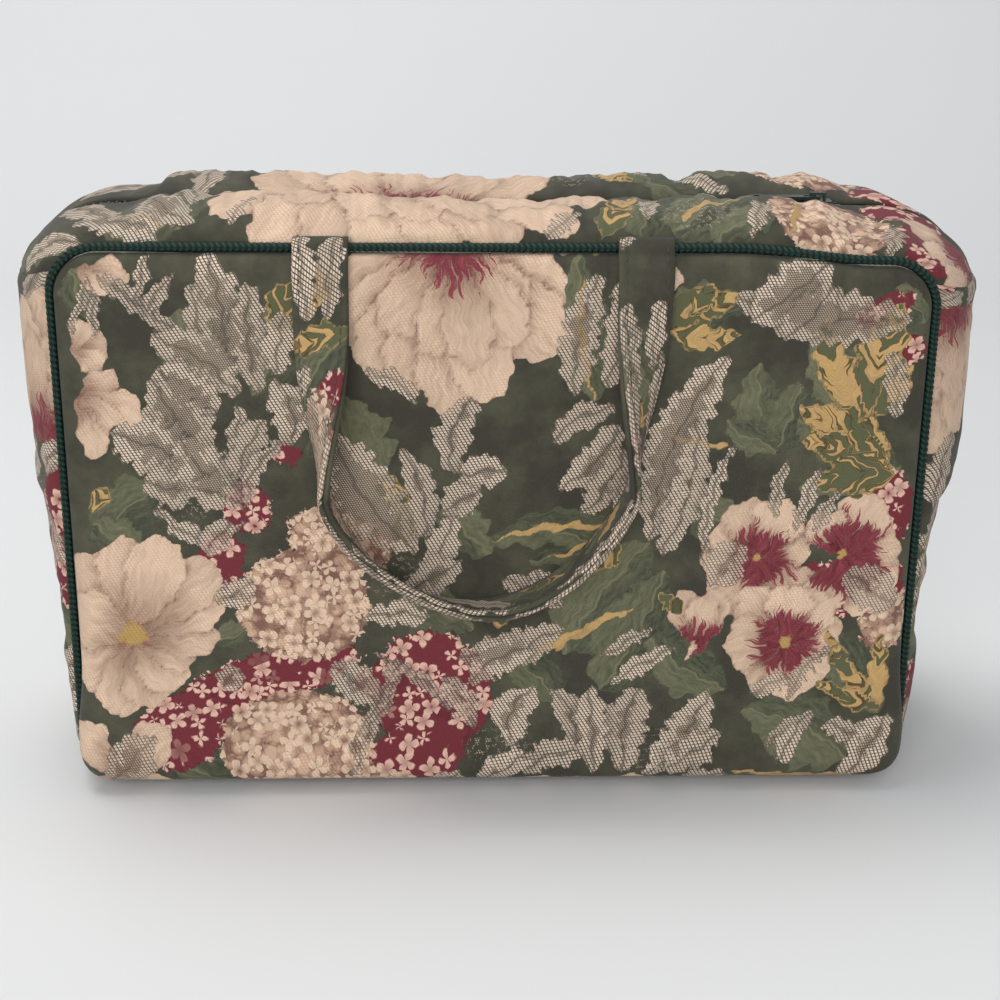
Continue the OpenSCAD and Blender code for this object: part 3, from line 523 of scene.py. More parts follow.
# %% The repeat of the cloth
PRINT = {
    "repeat": (336, 214),
    # Leaves: base, tip, half width, bow
    "leaf": [
        ((-150, 104), (-116, 128), 11, 3), ((-150, 112), (-128, 96), 8, 0),
        ((-96, 164), (-100, 205), 17, 2), ((-88, 160), (-66, 208), 12, -3),
        ((-60, 160), (-45, 120), 16, 0), ((100, 138), (95, 172), 10, 1),
        ((103, 138), (111, 166), 9, -1), ((104, 140), (84, 150), 6, 1), ((26, 60), (58, 104), 17, 2),
        ((40, 44), (64, 92), 15, -2), ((88, 44), (58, 66), 11, 2), ((134, 18), (94, 36), 14, -3),
        ((146, 34), (126, 70), 11, 0), ((146, 8), (88, 12), 7, 4), ((46, 110), (-4, 103), 7, -3),
        ((46, 108), (12, 96), 5, 2), ((40, 103), (12, 111), 5, 0), ((36, 158), (29, 212), 10, 2),
        ((58, 184), (90, 196), 10, 2), ((136, 150), (150, 204), 10, 1), ((136, 150), (116, 190), 10, 3),
        ((150, 132), (110, 152), 10, 2), ((150, 132), (113, 124), 9, -2),
        ((-152, 208), (-144, 188), 7, 0), ((-96, 8), (-124, 24), 9, 2), ((-106, 64), (-90, 72), 5, 0),
        ((-40, 78), (-8, 70), 10, 3), ((26, 40), (4, 62), 9, 0), ((70, 118), (92, 108), 9, 0),
        ((-20, 118), (-2, 98), 9, 0), ((144, 206), (156, 190), 6, 0), ((8, 200), (20, 214), 7, 0)],
    # Wine fields: centre, half sizes, turn
    "wine": [
        ((-86, 50), (36, 11), 18), ((-117, 30), (19, 14), 20), ((-24, 44), (23, 25), 20),
        ((-34, 16), (26, 13), 30), ((-92, 117), (9, 10), 0), ((-103, 96), (9, 13), -20),
        ((-52, 194), (7, 14), 0), ((-45, 48), (9, 6), 0), ((144, 116), (13, 17), 0),
        ((146, 84), (10, 17), 10), ((126, 84), (14, 12), 0), ((88, 100), (7, 7), 0),
        ((-76, 138), (5, 4), 0), ((140, 196), (12, 6), 30), ((150, 178), (8, 6), 40)],
    # Hydrangea heads, the same
    "heads": [
        ((-72, 79), (25, 22), 0), ((-74, 23), (29, 22), 0), ((-45, 8), (16, 8), 0),
        ((-58, 104), (20, 12), -20), ((148, 72), (10, 12), 0)],
    # Flowers: centre, wine heart, gold heart, and petals as tip and half width
    "flowers": [
        ((-15, 216), 0.34, 0.0, [
            ((-57, 196), 13), ((-54, 180), 13), ((-47, 168), 13), ((-34, 162), 12), ((24, 196), 12),
            ((22, 176), 14), ((-18, 153), 12), ((-2, 158), 12), ((9, 190), 10), ((-40, 184), 10),
            ((8, 180), 10), ((-23, 175), 8), ((-8, 171), 9)]),
        ((-136, 68), 0.12, 0.2, [
            ((-157, 98), 13), ((-160, 50), 13), ((-142, 35), 10), ((-128, 39), 10), ((-119, 47), 10),
            ((-113, 58), 8), ((-104, 66), 8), ((-102, 84), 10), ((-138, 106), 11), ((-104, 96), 10),
            ((-122, 106), 11), ((-160, 76), 12)]),
        ((99, 97), 0.5, 0.06, [
            ((78, 96), 12), ((84, 112), 9), ((117, 106), 9), ((92, 120), 9), ((109, 119), 10),
            ((84, 76), 9), ((115, 77), 13)]),
        ((131, 98), 0.62, 0.07, [
            ((153, 96), 12), ((148, 78), 12), ((142, 121), 11), ((120, 114), 8), ((121, 74), 9)]),
        ((111, 64), 0.55, 0.1, [
            ((100, 44), 10), ((113, 40), 10), ((125, 48), 9), ((132, 70), 8), ((126, 82), 9),
            ((94, 84), 9), ((88, 63), 11), ((112, 86), 9)]),
        ((78, 60), 0.5, 0.0, [((70, 84), 7), ((84, 84), 7), ((74, 62), 5), ((79, 82), 6)]),
        ((-150, 206), 0.0, 0.0, [((-130, 205), 5), ((-137, 199), 4)]),
        ((-152, 178), 0.0, 0.0, [((-139, 180), 6), ((-142, 170), 5), ((-146, 187), 5)]),
        ((-152, 160), 0.0, 0.0, [((-136, 168), 5), ((-128, 153), 7), ((-140, 147), 8), ((-144, 136), 5)]),
        ((-142, 16), 0.05, 0.0, [((-122, 29), 8), ((-158, 28), 9), ((-124, 4), 7), ((-150, 0), 8)]),
        ((54, 214), 0.2, 0.0, [((62, 198), 7), ((50, 199), 7)]),
        ((36, -2), 0.2, 0.1, [((10, 8), 6), ((60, 9), 6), ((34, 10), 5)])],
    # Gold: base, tip, half width, bow
    "gold": [
        ((60, 187), (88, 197), 7, 2), ((62, 184), (88, 183), 5, -2), ((70, 190), (78, 202), 4, 0),
        ((136, 151), (147, 200), 9, 2), ((134, 152), (118, 192), 7, 3), ((146, 140), (111, 156), 9, 2),
        ((148, 133), (112, 143), 7, -1), ((148, 130), (118, 126), 9, -2),
        ((140, 152), (152, 172), 5, 0), ((-79, 184), (-70, 204), 7, 1), ((-44, 131), (-32, 112), 5, 1),
        ((-30, 113), (-39, 104), 5, 0), ((44, 109), (-2, 104), 1.6, -3), ((44, 109), (18, 97), 1.2, 2),
        ((36, 158), (31, 206), 1.6, 3), ((-148, 116), (-143, 126), 4, 0), ((144, 12), (88, 15), 1.8, 3),
        ((140, 6), (96, 8), 1.4, -2), ((147, 38), (126, 69), 4, 2), ((147, 38), (147, 68), 4, 0),
        ((147, 36), (122, 48), 4, 1), ((22, 60), (54, 78), 1.6, 2), ((12, 58), (34, 70), 1.4, 0),
        ((46, 104), (36, 92), 5, 1), ((62, 82), (72, 76), 4, 0), ((-6, 74), (12, 80), 6, 0),
        ((88, 141), (58, 148), 1.2, 2)],
    # Brocade: base, tip, half width, bow, and teeth along the edge
    "floats": [
        ((-142, 205), (-110, 181), 4, 0, 6), ((-128, 196), (-124, 211), 3, 0, 3),
        ((-126, 190), (-115, 205), 3, 0, 4), ((-144, 204), (-152, 184), 2.6, 0, 4),
        ((-143, 200), (-144, 180), 2.4, 0, 4), ((-98, 162), (-103, 213), 10, -3, 7),
        ((-100, 168), (-108, 202), 5, 2, 5), ((-90, 176), (-84, 202), 3, 2, 4),
        ((-86, 162), (-88, 202), 7, 2, 6), ((-80, 168), (-76, 192), 6, 0, 5),
        ((-93, 161), (-124, 183), 9, -3, 8), ((-100, 154), (-122, 172), 9, 2, 6),
        ((-106, 132), (-124, 166), 12, 0, 6), ((-108, 130), (-140, 146), 11, -2, 6),
        ((-108, 128), (-130, 128), 8, 3, 5), ((-94, 118), (-116, 144), 10, 2, 8),
        ((-94, 120), (-112, 126), 7, 0, 4), ((-98, 132), (-94, 158), 4, -2, 4),
        ((-96, 128), (-84, 152), 6, 1, 5), ((-74, 142), (-80, 166), 8, -3, 4),
        ((-92, 116), (-76, 144), 3.2, 5, 6), ((-126, 118), (-92, 112), 4, -9, 8),
        ((-60, 150), (-54, 112), 3, 0, 5), ((-30, 100), (-60, 146), 13, 4, 9),
        ((-26, 104), (-34, 140), 6, -3, 6), ((-48, 170), (-28, 158), 4, 2, 5),
        ((-16, 130), (-8, 160), 7, 4, 5), ((-14, 130), (4, 132), 7, 0, 4),
        ((-20, 116), (-6, 124), 7, 0, 4), ((-26, 94), (-16, 114), 6, -2, 4),
        ((-34, 80), (-12, 96), 7, 2, 5), ((-50, 74), (-24, 74), 5, 2, 6),
        ((-14, 58), (26, 70), 8, -3, 8), ((-10, 48), (14, 62), 7, 3, 6),
        ((28, 160), (36, 206), 7, 2, 8), ((40, 162), (46, 206), 6, -2, 8),
        ((44, 156), (20, 142), 5, -3, 6), ((46, 150), (24, 124), 7, 3, 7),
        ((48, 140), (32, 114), 6, 2, 6), ((50, 130), (46, 112), 3.4, 0, 4),
        ((26, 78), (2, 90), 5, 0, 5), ((20, 80), (14, 94), 4, 0, 4),
        ((86, 196), (150, 192), 12, -2, 10), ((92, 188), (120, 212), 10, 0, 6),
        ((120, 204), (104, 182), 8, 2, 5), ((58, 104), (84, 176), 10, 6, 12),
        ((62, 98), (74, 150), 7, -4, 8), ((78, 96), (88, 142), 3, 3, 8),
        ((104, 112), (108, 136), 3, 1, 6), ((112, 108), (120, 132), 3.4, 0, 6),
        ((118, 106), (128, 124), 3, 0, 5), ((148, 152), (144, 178), 5, 0, 5),
        ((50, 14), (56, 46), 9, 4, 7), ((58, 12), (82, 44), 8, -3, 7), ((64, 14), (86, 26), 6, 0, 5),
        ((6, 22), (16, 46), 8, 5, 6), ((32, 18), (22, 46), 6, -3, 6), ((38, 14), (36, 46), 6, 0, 6),
        ((10, 14), (34, 20), 5, 3, 5), ((-8, 2), (14, 20), 6, 3, 5), ((70, 2), (90, 12), 6, 2, 5),
        ((-24, 2), (-12, 14), 6, 0, 4), ((-46, 60), (-14, 36), 3, 2, 10),
        ((-54, 12), (-34, 58), 3, 0, 12), ((-36, 62), (-54, 22), 2.6, 2, 12),
        ((-20, 50), (-8, 30), 6, 2, 5), ((112, 40), (128, 62), 3, 2, 6), ((98, 42), (112, 50), 4, 0, 5),
        ((104, 22), (122, 34), 4, 0, 5), ((108, 16), (116, 30), 4, 0, 4),
        ((124, 30), (144, 20), 5, 2, 6), ((134, 8), (150, 34), 7, 0, 6), ((60, 70), (40, 58), 3, 0, 5),
        ((68, 62), (44, 48), 4, 0, 6), ((-108, 100), (-98, 112), 6, 0, 4),
        ((-104, 46), (-96, 54), 5, 0, 4), ((-62, 56), (-44, 40), 8, 0, 6),
        ((-90, 88), (-104, 80), 6, 0, 4), ((-146, 10), (-128, 26), 8, 0, 5),
        ((82, 86), (92, 104), 8, 0, 6), ((132, 92), (152, 78), 9, 0, 6)],
    # Places where single threads are scattered like snow: centre, half sizes, turn
    "snow": [
        ((-38, 92), (12, 9), 20), ((2, 22), (14, 8), 0), ((60, 20), (16, 9), 0),
        ((-96, 176), (6, 14), 0), ((66, 128), (12, 18), 0), ((-112, 118), (10, 6), 0),
        ((34, 186), (8, 20), 0), ((118, 108), (12, 8), 0)],
}
print(f"The print has {sum(len(PRINT[k]) for k in PRINT if k != 'repeat')} motifs")


# %% [markdown]
# Laying the print on a piece means asking each motif for its depth at each point. A motif that is
# drawn later covers what lies below it and casts a soft shade there, which parts one petal from the
# next. A small drift of the place beforehand makes every outline look drawn by hand. Five layers of
# ink, the brocade and its scattered threads are kept, each as three numbers: a depth, a tone and one
# detail of its own. Two more values say how brush strokes flow and where petals have rims and hearts.

# %% Lay the print on a piece
# Depth far from any motif, reach and strength of the shade round one, and size of a gold heart of 1
DEEP, SHADE_REACH, SHADE, HEART_W = -40.0, 1.8, 0.6, 60.0
# A gold motif thinner than this is one plain stroke
THIN = 2
INKS = ("leaf", "wine", "head", "bloom", "gold", "floats", "snow")


def drift(place):
    """The place, shifted by up to a millimetre in slow waves."""
    u, v = place[:, 0], place[:, 1]
    aside = np.sin(v * 0.61 + 1.3 * np.sin(u * 0.23)) + 0.5 * np.sin(u * 0.9 + v)
    up = np.sin(u * 0.57 + 1.1 * np.sin(v * 0.31)) + 0.5 * np.sin(v * 1.1 - u)
    return place + 0.7 * np.stack([aside, up], 1)


def lay(layer, depth, tone, detail=0.0):
    """Draws one shape over a layer of ink and returns where it shows."""
    inside = depth > 0
    shaded = layer[:, 1] * (1 - SHADE * np.exp(np.minimum(depth, 0) / SHADE_REACH))
    layer[:, 1] = np.where(inside, tone, shaded)
    layer[:, 2] = np.where(inside, detail, layer[:, 2])
    layer[:, 0] = np.maximum(layer[:, 0], depth)
    return inside


def lay_print(mesh, place, design):
    """Works out the print at the points of a mesh and keeps it as attributes."""
    repeat, at, n = design["repeat"], drift(place), len(place)
    ink = {key: np.tile([DEEP, 0.5, 0.0], (n, 1)) for key in INKS}
    flow, rim = np.zeros((n, 3)), np.tile([-DEEP, 0.0, 0.0], (n, 1))
    for k, (base, tip, width, bow) in enumerate(design["leaf"]):
        depth, t, across, length = blade(at, repeat, base, tip, width, bow, teeth=4)
        vein = np.sin((t * length - 1.1 * np.abs(across)) * 1.5)
        tone = 0.5 + 0.2 * np.tanh(across) + 0.07 * vein + 0.08 * (k % 3 - 1)
        shown = lay(ink["leaf"], depth, tone, across)
        flow[shown] = np.stack([across, 0.2 * t * length, np.full(n, 5.0 * k)], 1)[shown]
    for centre, size, turn in design["wine"]:
        lay(ink["wine"], oval(at, repeat, centre, size, turn), 0.6)
    for centre, size, turn in design["heads"]:
        depth = oval(at, repeat, centre, size, turn)
        lay(ink["head"], depth, 0.45 + 0.5 * smooth(depth / min(size)))
    for centre, blush, eye, petals in design["flowers"]:
        for k, (tip, width) in enumerate(petals):
            depth, t, across, length = blade(at, repeat, centre, tip, width, 0, 0.68, 0.5)
            tone = 0.32 + 0.6 * smooth((t - 0.15) / 0.6) - 0.1 * smooth((t - 0.85) / 0.15)
            shown = lay(ink["bloom"], depth, tone + 0.07 * ((5 * k) % 3 - 1), blush - t)
            flow[shown] = np.stack([across, 0.12 * t * length, np.full(n, 7.0 * k)], 1)[shown]
            rim[:, 0] = np.where(shown, depth, np.minimum(rim[:, 0], -depth))
        if eye:
            offset = nearest(at - np.array(centre, float), repeat)
            rim[:, 1] = np.maximum(rim[:, 1], 1 - np.hypot(*offset.T) / (HEART_W * eye))
    for k, (base, tip, width, bow) in enumerate(design["gold"]):
        depth, t, across, length = blade(at, repeat, base, tip, width, bow, teeth=5)
        shown = lay(ink["gold"], depth, 0.8, float(width > THIN)) & (ink["bloom"][:, 0] < 0)
        branch = t * length - 1.5 * np.abs(across)
        flow[shown] = np.stack([branch, 0.3 * np.abs(across), np.full(n, 3.0 * k)], 1)[shown]
    for k, (base, tip, width, bow, teeth) in enumerate(design["floats"]):
        depth, t, across, length = blade(at, repeat, base, tip, width, bow, 0.5, 0.6, teeth)
        lay(ink["floats"], depth, 0.86 + 0.12 * (k % 2) - 0.1 * np.exp(-(across / 1.5) ** 2), across)
    for centre, size, turn in design["snow"]:
        lay(ink["snow"], oval(at, repeat, centre, size, turn), 0.9)
    for key, values in (("place", place), ("flow", flow), ("rim", rim), *ink.items()):
        keep_place(mesh, values, key)


# %% [markdown]
# Jacquard is a woven figured cloth, cotton with some polyester. Three things give it away: a dull,
# finely twilled ground, pale threads that float over the ground in short slanted dashes with a
# slight sheen, and a print that covers both, so that a printed flower also tints the floats that
# cross it. The tree below paints the layers from back to front and ends with the threads' relief.

# %% Colours of the cloth
GROUND_DARK, GROUND_LIT = hexa("#343228"), hexa("#494838")
# Each layer of ink: its dark and light tone, how ragged its outline is and how brushed its tone
LAYERS = (("leaf", hexa("#32362a"), hexa("#65654c"), 0.6, 0.6),
          ("wine", hexa("#3f1217"), hexa("#762b34"), 2.4, 0.35),
          ("head", hexa("#79574a"), hexa("#c9a78d"), 2.4, 0.2),
          ("bloom", hexa("#7a5a49"), hexa("#d4b79d"), 0.5, 0.35),
          ("gold", hexa("#7f6440"), hexa("#b3925f"), 0.5, 0.5))
LEAF_RIB, WINE_DARK, WINE_LIT = hexa("#7b7658"), hexa("#541a20"), hexa("#8a3b45")
FLORET_SHADE, FLORET_LIT, FLORET_EYE = hexa("#8f5f58"), hexa("#c9a594"), hexa("#5f2c2e")
HEAD_SHADE, HEAD_LIT = hexa("#86614f"), hexa("#e0c5aa")
PETAL_GAP, GOLD_EYE = hexa("#745a4a"), hexa("#a98a50")
GOLD_LINE, GOLD_LEAF = hexa("#46381f"), hexa("#505237")
# Pale colours of coarse and of fine floats, and a dark brown painted as shade in the gaps between the
# floats
FLOAT_LIT, FLOAT_FINE, FLOAT_GAP_SHADE = hexa("#d8c4af"), hexa("#b5a28e"), hexa("#4a4035")
# Coarse and fine floats: distance between columns and between dashes in mm, and how full each is
FLOAT_KINDS = ((1.5, 0.95, 0.6, 0.8), (0.95, 0.75, 0.45, 0.65))
# A wave texture of scale 1 has a wave every 0.63 units along the axes
TWILL_SCALE = 2 * math.pi / 10 / math.sqrt(2) / 0.8
# Florets in wine fields, petals in hydrangea heads and gold strokes, a millimetre
FLORET_RATE, PETAL_RATE, STROKE_RATE = 0.14, 0.24, 0.22

# %% Florets
def florets(put, place):
    """Four-lobed florets, one to a cell, each turned its own way: places, cover, share and two tints."""
    cell = put("TexVoronoi", {"Vector": place, "Scale": FLORET_RATE, "Randomness": 0.7}, out="Position")
    wobble = put("VectorMath", put("TexNoise", {"Vector": place, "Scale": 0.5}, out="Color"),
                 {"Scale": 1.6}, operation="SCALE")
    away = put("VectorMath", put("VectorMath", place, cell, operation="SUBTRACT"), wobble, operation="ADD")
    away = put("VectorMath", away, (0.8, 0.8, 0.8), operation="SUBTRACT")
    ax = put("SeparateXYZ", away, out="X")
    kind = put("SeparateColor", cell.node.outputs["Color"], out="Red")
    angle = put("Math", kind, 3.0, put("Math", ax.node.outputs["Y"], ax, operation="ARCTAN2"),
                operation="MULTIPLY_ADD")
    lobe = put("Math", put("Math", angle, 2.0, operation="MULTIPLY"), operation="SINE")
    lobe = put("Math", put("Math", lobe, operation="ABSOLUTE"), 0.45, operation="POWER")
    reach = put("VectorMath", away, out="Value", operation="LENGTH")
    depth = put("Math", lobe, 3.6, 0.8, operation="MULTIPLY_ADD")
    depth = put("Math", depth, reach, operation="SUBTRACT")
    floret = put("MapRange", depth, -0.1, 0.2)
    tint = put("Mix", {0: put("MapRange", reach, 0.4, 3.4), 6: FLORET_SHADE, 7: FLORET_LIT}, **BLEND)
    tint = put("Mix", {0: put("MapRange", depth, 0.5, 0.1), 6: tint, 7: FLORET_SHADE}, **BLEND)
    tint = put("Mix", {0: put("MapRange", reach, 0.9, 0.5), 6: tint, 7: FLORET_EYE}, **BLEND)
    some = put("MapRange", kind.node.outputs["Green"], 0.06, 0.12)
    share = put("Math", floret, some, operation="MULTIPLY")
    pale_tint = put("Mix", {0: put("MapRange", reach, 0.6, 2.6), 6: HEAD_SHADE, 7: HEAD_LIT}, **BLEND)
    return away, floret, share, tint, pale_tint


# %% Floats
def float_columns(put, u, v):
    """Slanted columns of dashes, coarse and fine, and a number of its own for each coarse column."""
    slant = put("Math", v, 0.6, u, operation="MULTIPLY_ADD")
    column = put("Math", slant, 1 / FLOAT_KINDS[0][0], operation="MULTIPLY")
    column = put("Math", column, operation="FLOOR")
    ended = put("TexWhiteNoise", {"W": column}, out="Value", noise_dimensions="1D")
    kinds = []
    for pitch, dash, filled, whole in FLOAT_KINDS:
        columns = put("Math", slant, 2 * math.pi / pitch, operation="MULTIPLY")
        columns = put("Math", put("Math", columns, operation="SINE"), filled, operation="ADD")
        rows = put("Math", slant, -0.3 * math.pi / pitch,
                   put("Math", v, 2 * math.pi / dash, operation="MULTIPLY"), operation="MULTIPLY_ADD")
        rows = put("Math", put("Math", rows, operation="SINE"), whole, operation="ADD")
        kinds.append(put("MapRange", put("Math", columns, rows, operation="MINIMUM"), -0.2, 0.25))
    return kinds, ended


# %% Jacquard
def jacquard(name):
    """The printed jacquard, as a material that reads the layers of ink."""
    material, tree, output = new_material(name)
    put = functools.partial(add, tree)
    place = put("Attribute", out="Vector", attribute_name="place")
    u = put("SeparateXYZ", place, out="X")
    v = u.node.outputs["Y"]
    ink = {}
    for key in (*INKS, "rim"):
        value = put("Attribute", out="Vector", attribute_name=key)
        ink[key] = put("SeparateXYZ", value, out="X").node.outputs
    # Brush strokes along the motifs, a waver that makes outlines ragged, and wide clouds
    flow = put("Attribute", out="Vector", attribute_name="flow")
    streaks = put("TexNoise", {"Vector": flow, "Scale": 0.75, "Detail": 3.0, "Roughness": 0.6})
    waver = put("TexNoise", {"Vector": place, "Scale": 0.55, "Detail": 3.0})
    streaks, waver = (put("MapRange", texture, 0.3, 0.7) for texture in (streaks, waver))
    cloud = put("TexNoise", {"Vector": place, "Scale": 0.03, "Detail": 5.0, "Roughness": 0.65})

    # Wine fields hold florets, and pale ones lie on the hydrangea heads
    away, floret, share, tint, pale_tint = florets(put, place)

    # Hydrangea heads are crowded petals, each with a tone of its own and shade round it
    bent = put("VectorMath", place, put("VectorMath", away, {"Scale": 0.12}, operation="SCALE"),
               operation="ADD")
    crowd = put("TexVoronoi", {"Vector": bent, "Scale": PETAL_RATE, "Randomness": 0.9})
    own = put("SeparateColor", crowd.node.outputs["Color"], out="Red")
    shade = put("Math", put("MapRange", crowd, 0.36, 0.66), -0.7,
                put("Math", own, 0.6, -0.15, operation="MULTIPLY_ADD"), operation="MULTIPLY_ADD")

    # Petals have streaked wine hearts, and a leaf has a light rib
    heart = put("Math", put("Math", streaks, 0.4, -0.2, operation="MULTIPLY_ADD"), ink["bloom"][2],
                operation="ADD")
    red = put("Mix", {0: streaks, 6: WINE_DARK, 7: WINE_LIT}, **BLEND)
    rib = put("MapRange", put("Math", ink["leaf"][2], operation="ABSOLUTE"), 0.55, 0.2, 0.0, 0.45)

    # Gold strokes branch from the rib of a green leaf, each edged with a dark line
    stroke = put("TexNoise", {"Vector": flow, "Scale": STROKE_RATE, "Detail": 1.0, "Distortion": 0.4})
    gap = put("Math", put("MapRange", stroke, 0.53, 0.5), ink["gold"][2], operation="MULTIPLY")
    green = put("Mix", {0: put("MapRange", stroke, 0.49, 0.465), 6: GOLD_LINE, 7: GOLD_LEAF}, **BLEND)

    # What is drawn on each layer: where it shows and its colour
    figures = {"leaf": (rib, LEAF_RIB), "wine": (share, tint),
               "head": (put("Math", floret, 0.75, operation="MULTIPLY"), pale_tint),
               "bloom": (put("MapRange", heart, 0.0, 0.08), red),
               "gold": (gap, green)}

    # The layers from back to front, with how much is printed and how much of that is bloom or head
    colour = put("Mix", {0: put("MapRange", cloud, 0.42, 0.64), 6: GROUND_DARK, 7: GROUND_LIT}, **BLEND)
    printed, soft = 0.0, 0.0
    for key, dark, light, ragged, brushed in LAYERS:
        outline = put("Math", waver, ragged, ink[key][0], operation="MULTIPLY_ADD")
        inside = put("MapRange", outline, 0.5 * ragged - 0.1, 0.5 * ragged + 0.2)
        tone = put("Math", put("Math", streaks, brushed, -0.5 * brushed, operation="MULTIPLY_ADD"),
                   ink[key][1], operation="ADD")
        if key == "head":
            tone = put("Math", tone, shade, operation="ADD")
        paint = put("Mix", {0: tone, 6: dark, 7: light}, **BLEND)
        share, figure = figures[key]
        paint = put("Mix", {0: share, 6: paint, 7: figure}, **BLEND)
        if key == "bloom":
            line = put("MapRange", ink["rim"][0], 0.45, 0.1, 0.0, 0.6)
            paint = put("Mix", {0: line, 6: paint, 7: PETAL_GAP}, **BLEND)
            eye = put("Math", waver, 0.2, ink["rim"][1], operation="MULTIPLY_ADD")
            paint = put("Mix", {0: put("MapRange", eye, 0.6, 0.8), 6: paint, 7: GOLD_EYE}, **BLEND)
        colour = put("Mix", {0: inside, 6: colour, 7: paint}, **BLEND)
        if key != "leaf":
            printed = put("Math", inside, printed, operation="MAXIMUM")
        if key in ("head", "bloom"):
            soft = put("Math", inside, soft, operation="MAXIMUM")

    # Floats are coarse along a motif's rim and finer inside it
    kinds, ended = float_columns(put, u, v)
    # Each column of threads ends a little sooner or later than the next, so edges are stepped
    waved = put("Math", ended, 1.6, ink["floats"][0], operation="MULTIPLY_ADD")
    within = put("MapRange", waved, 0.7, 0.9)
    core = put("MapRange", put("Math", cloud, 16.0, waved, operation="MULTIPLY_ADD"), 13.6, 14.4)
    threads = put("Mix", {0: core, 2: kinds[0], 3: kinds[1]})
    vein = put("MapRange", put("Math", ink["floats"][2], operation="ABSOLUTE"), 0.3, 0.75, 0.4, 1.0)
    threads = put("Math", put("Math", threads, within, operation="MULTIPLY"), vein, operation="MULTIPLY")
    flakes = put("Math", put("MapRange", ink["snow"][0], 0.0, 3.0), put("MapRange", waver, 0.6, 0.7),
                 operation="MULTIPLY")
    flakes = put("Math", flakes, kinds[1], operation="MULTIPLY")
    threads = put("Math", threads, flakes, operation="MAXIMUM")
    # Blooms are woven too, in threads of their own colour: the raised threads get painted light and the
    # gaps between them painted shade
    woven = put("Math", soft, kinds[0], operation="MULTIPLY")
    woven = put("Math", woven, put("MapRange", cloud, 0.44, 0.54), operation="MULTIPLY")
    lit = put("MapRange", put("Math", woven, soft, operation="SUBTRACT"), -1.0, 0.0, 0.87, 1.06)
    colour = put("VectorMath", colour, {"Scale": lit}, operation="SCALE")
    pale = put("Mix", {0: core, 6: FLOAT_LIT, 7: FLOAT_FINE}, **BLEND)
    pale = put("VectorMath", pale, {"Scale": ink["floats"][1]}, operation="SCALE")
    pale = put("Mix", {0: put("Math", printed, 0.4, operation="MULTIPLY"), 6: pale, 7: colour}, **BLEND)
    # Inside the brocade the ground between the floats is darkened: painted shade in the gaps between the
    # raised threads
    gap = put("Math", within, 0.7, operation="MULTIPLY")
    under = put("Mix", {0: gap, 6: colour, 7: FLOAT_GAP_SHADE}, **BLEND)
    colour = put("Mix", {0: threads, 6: under, 7: pale}, **BLEND)

    # The ground's twill, too fine to show at its real 0.3 mm, is drawn at 0.8 mm
    twill = put("TexWave", {"Vector": place, "Scale": TWILL_SCALE, "Distortion": 0.6, "Detail": 1.0},
                out="Fac", bands_direction="DIAGONAL")
    lint = put("TexNoise", {"Vector": place, "Scale": 1.3, "Detail": 2.0})
    grain = put("Math", put("Math", twill, 0.5, lint, operation="MULTIPLY_ADD"), 0.2, 0.86,
                operation="MULTIPLY_ADD")
    colour = put("VectorMath", colour, {"Scale": grain}, operation="SCALE")
    raised = put("Math", woven, 0.6, threads, operation="MULTIPLY_ADD")
    relief = put("Math", put("Math", twill, 0.18, raised, operation="MULTIPLY_ADD"),
                 put("Math", lint, 0.25, operation="MULTIPLY"), operation="ADD")
    bump = put("Bump", {"Strength": 0.7, "Distance": 0.25 * MM, "Height": relief})
    rough = put("MapRange", threads, 0.0, 1.0, 0.82, 0.55)
    shader = put("BsdfPrincipled", {"Base Color": colour, "Roughness": rough, "Normal": bump,
                                    "Specular IOR Level": 0.3, "Sheen Weight": 0.06,
                                    "Sheen Roughness": 0.5}, out="BSDF")
    tree.links.new(shader, output.inputs["Surface"])
    return material


JACQUARD = jacquard("printed_jacquard")
print(f"Jacquard has {len(JACQUARD.node_tree.nodes)} nodes")


# %% [markdown]
# The strips and the gusset are cut a little longer than their seams and gathered on to them, and the
# filling pushes them out. A coarse grid of each, held at its seams, gets that spare cloth and that
# push in a short cloth simulation. How far its points move is then carried over to the fine grid as a
# smooth surface, so the folds keep their shape and the seams keep their place.

# %% Settling of gathered cloth
# Frames of the simulation, and the height under which the base stays as it was sewn
SETTLE_FRAMES, SETTLE_Z = 20, 8.0


def settle(shape, across, up, spare, loose, cap=3.0):
    """How far the points of a coarse grid move as the cloth settles, free between two values of b."""
    moved = np.zeros((up + 1, across + 1, 3))
    mesh, a, b = flat_grid("settling", across, up)
    points = shape(a, b)[0]
    move_points(mesh, points)
    cloth = bpy.data.objects.new("settling", mesh)
    bpy.context.scene.collection.objects.link(cloth)
    ends = (np.minimum(a, 1 - a) * across < 0.5) | (points[:, 2] < SETTLE_Z)
    held = ends | (b < loose[0]) | (b > loose[1])
    cloth.vertex_groups.new(name="held").add(np.nonzero(held)[0].tolist(), 1.0, "REPLACE")
    modifier = cloth.modifiers.new("settling", "CLOTH")
    made = {"vertex_group_mass": "held", "quality": 6, "mass": 0.002, "bending_stiffness": 0.05,
            "shrink_min": -spare, "use_pressure": True, "uniform_pressure_force": 0.25}
    for key, value in made.items():
        setattr(modifier.settings, key, value)
    modifier.settings.effector_weights.gravity = 0.5
    modifier.collision_settings.use_collision = False
    modifier.point_cache.frame_end = SETTLE_FRAMES
    for number in range(1, SETTLE_FRAMES + 1):
        bpy.context.scene.frame_set(number)
    settled = cloth.evaluated_get(bpy.context.evaluated_depsgraph_get()).to_mesh()
    shift = np.array([vert.co for vert in settled.vertices]) / MM - points
    far = np.linalg.norm(shift, axis=1, keepdims=True)
    print(f"Settling moves the cloth by {far.mean():.1f} mm, and at most {far.max():.1f} mm")
    shift = shift * np.tanh(far / cap) * cap / np.maximum(far, 1e-6)
    moved[np.rint(b * up).astype(int), np.rint(a * across).astype(int)] = shift
    bpy.data.objects.remove(cloth)
    bpy.context.scene.frame_set(1)
    return moved


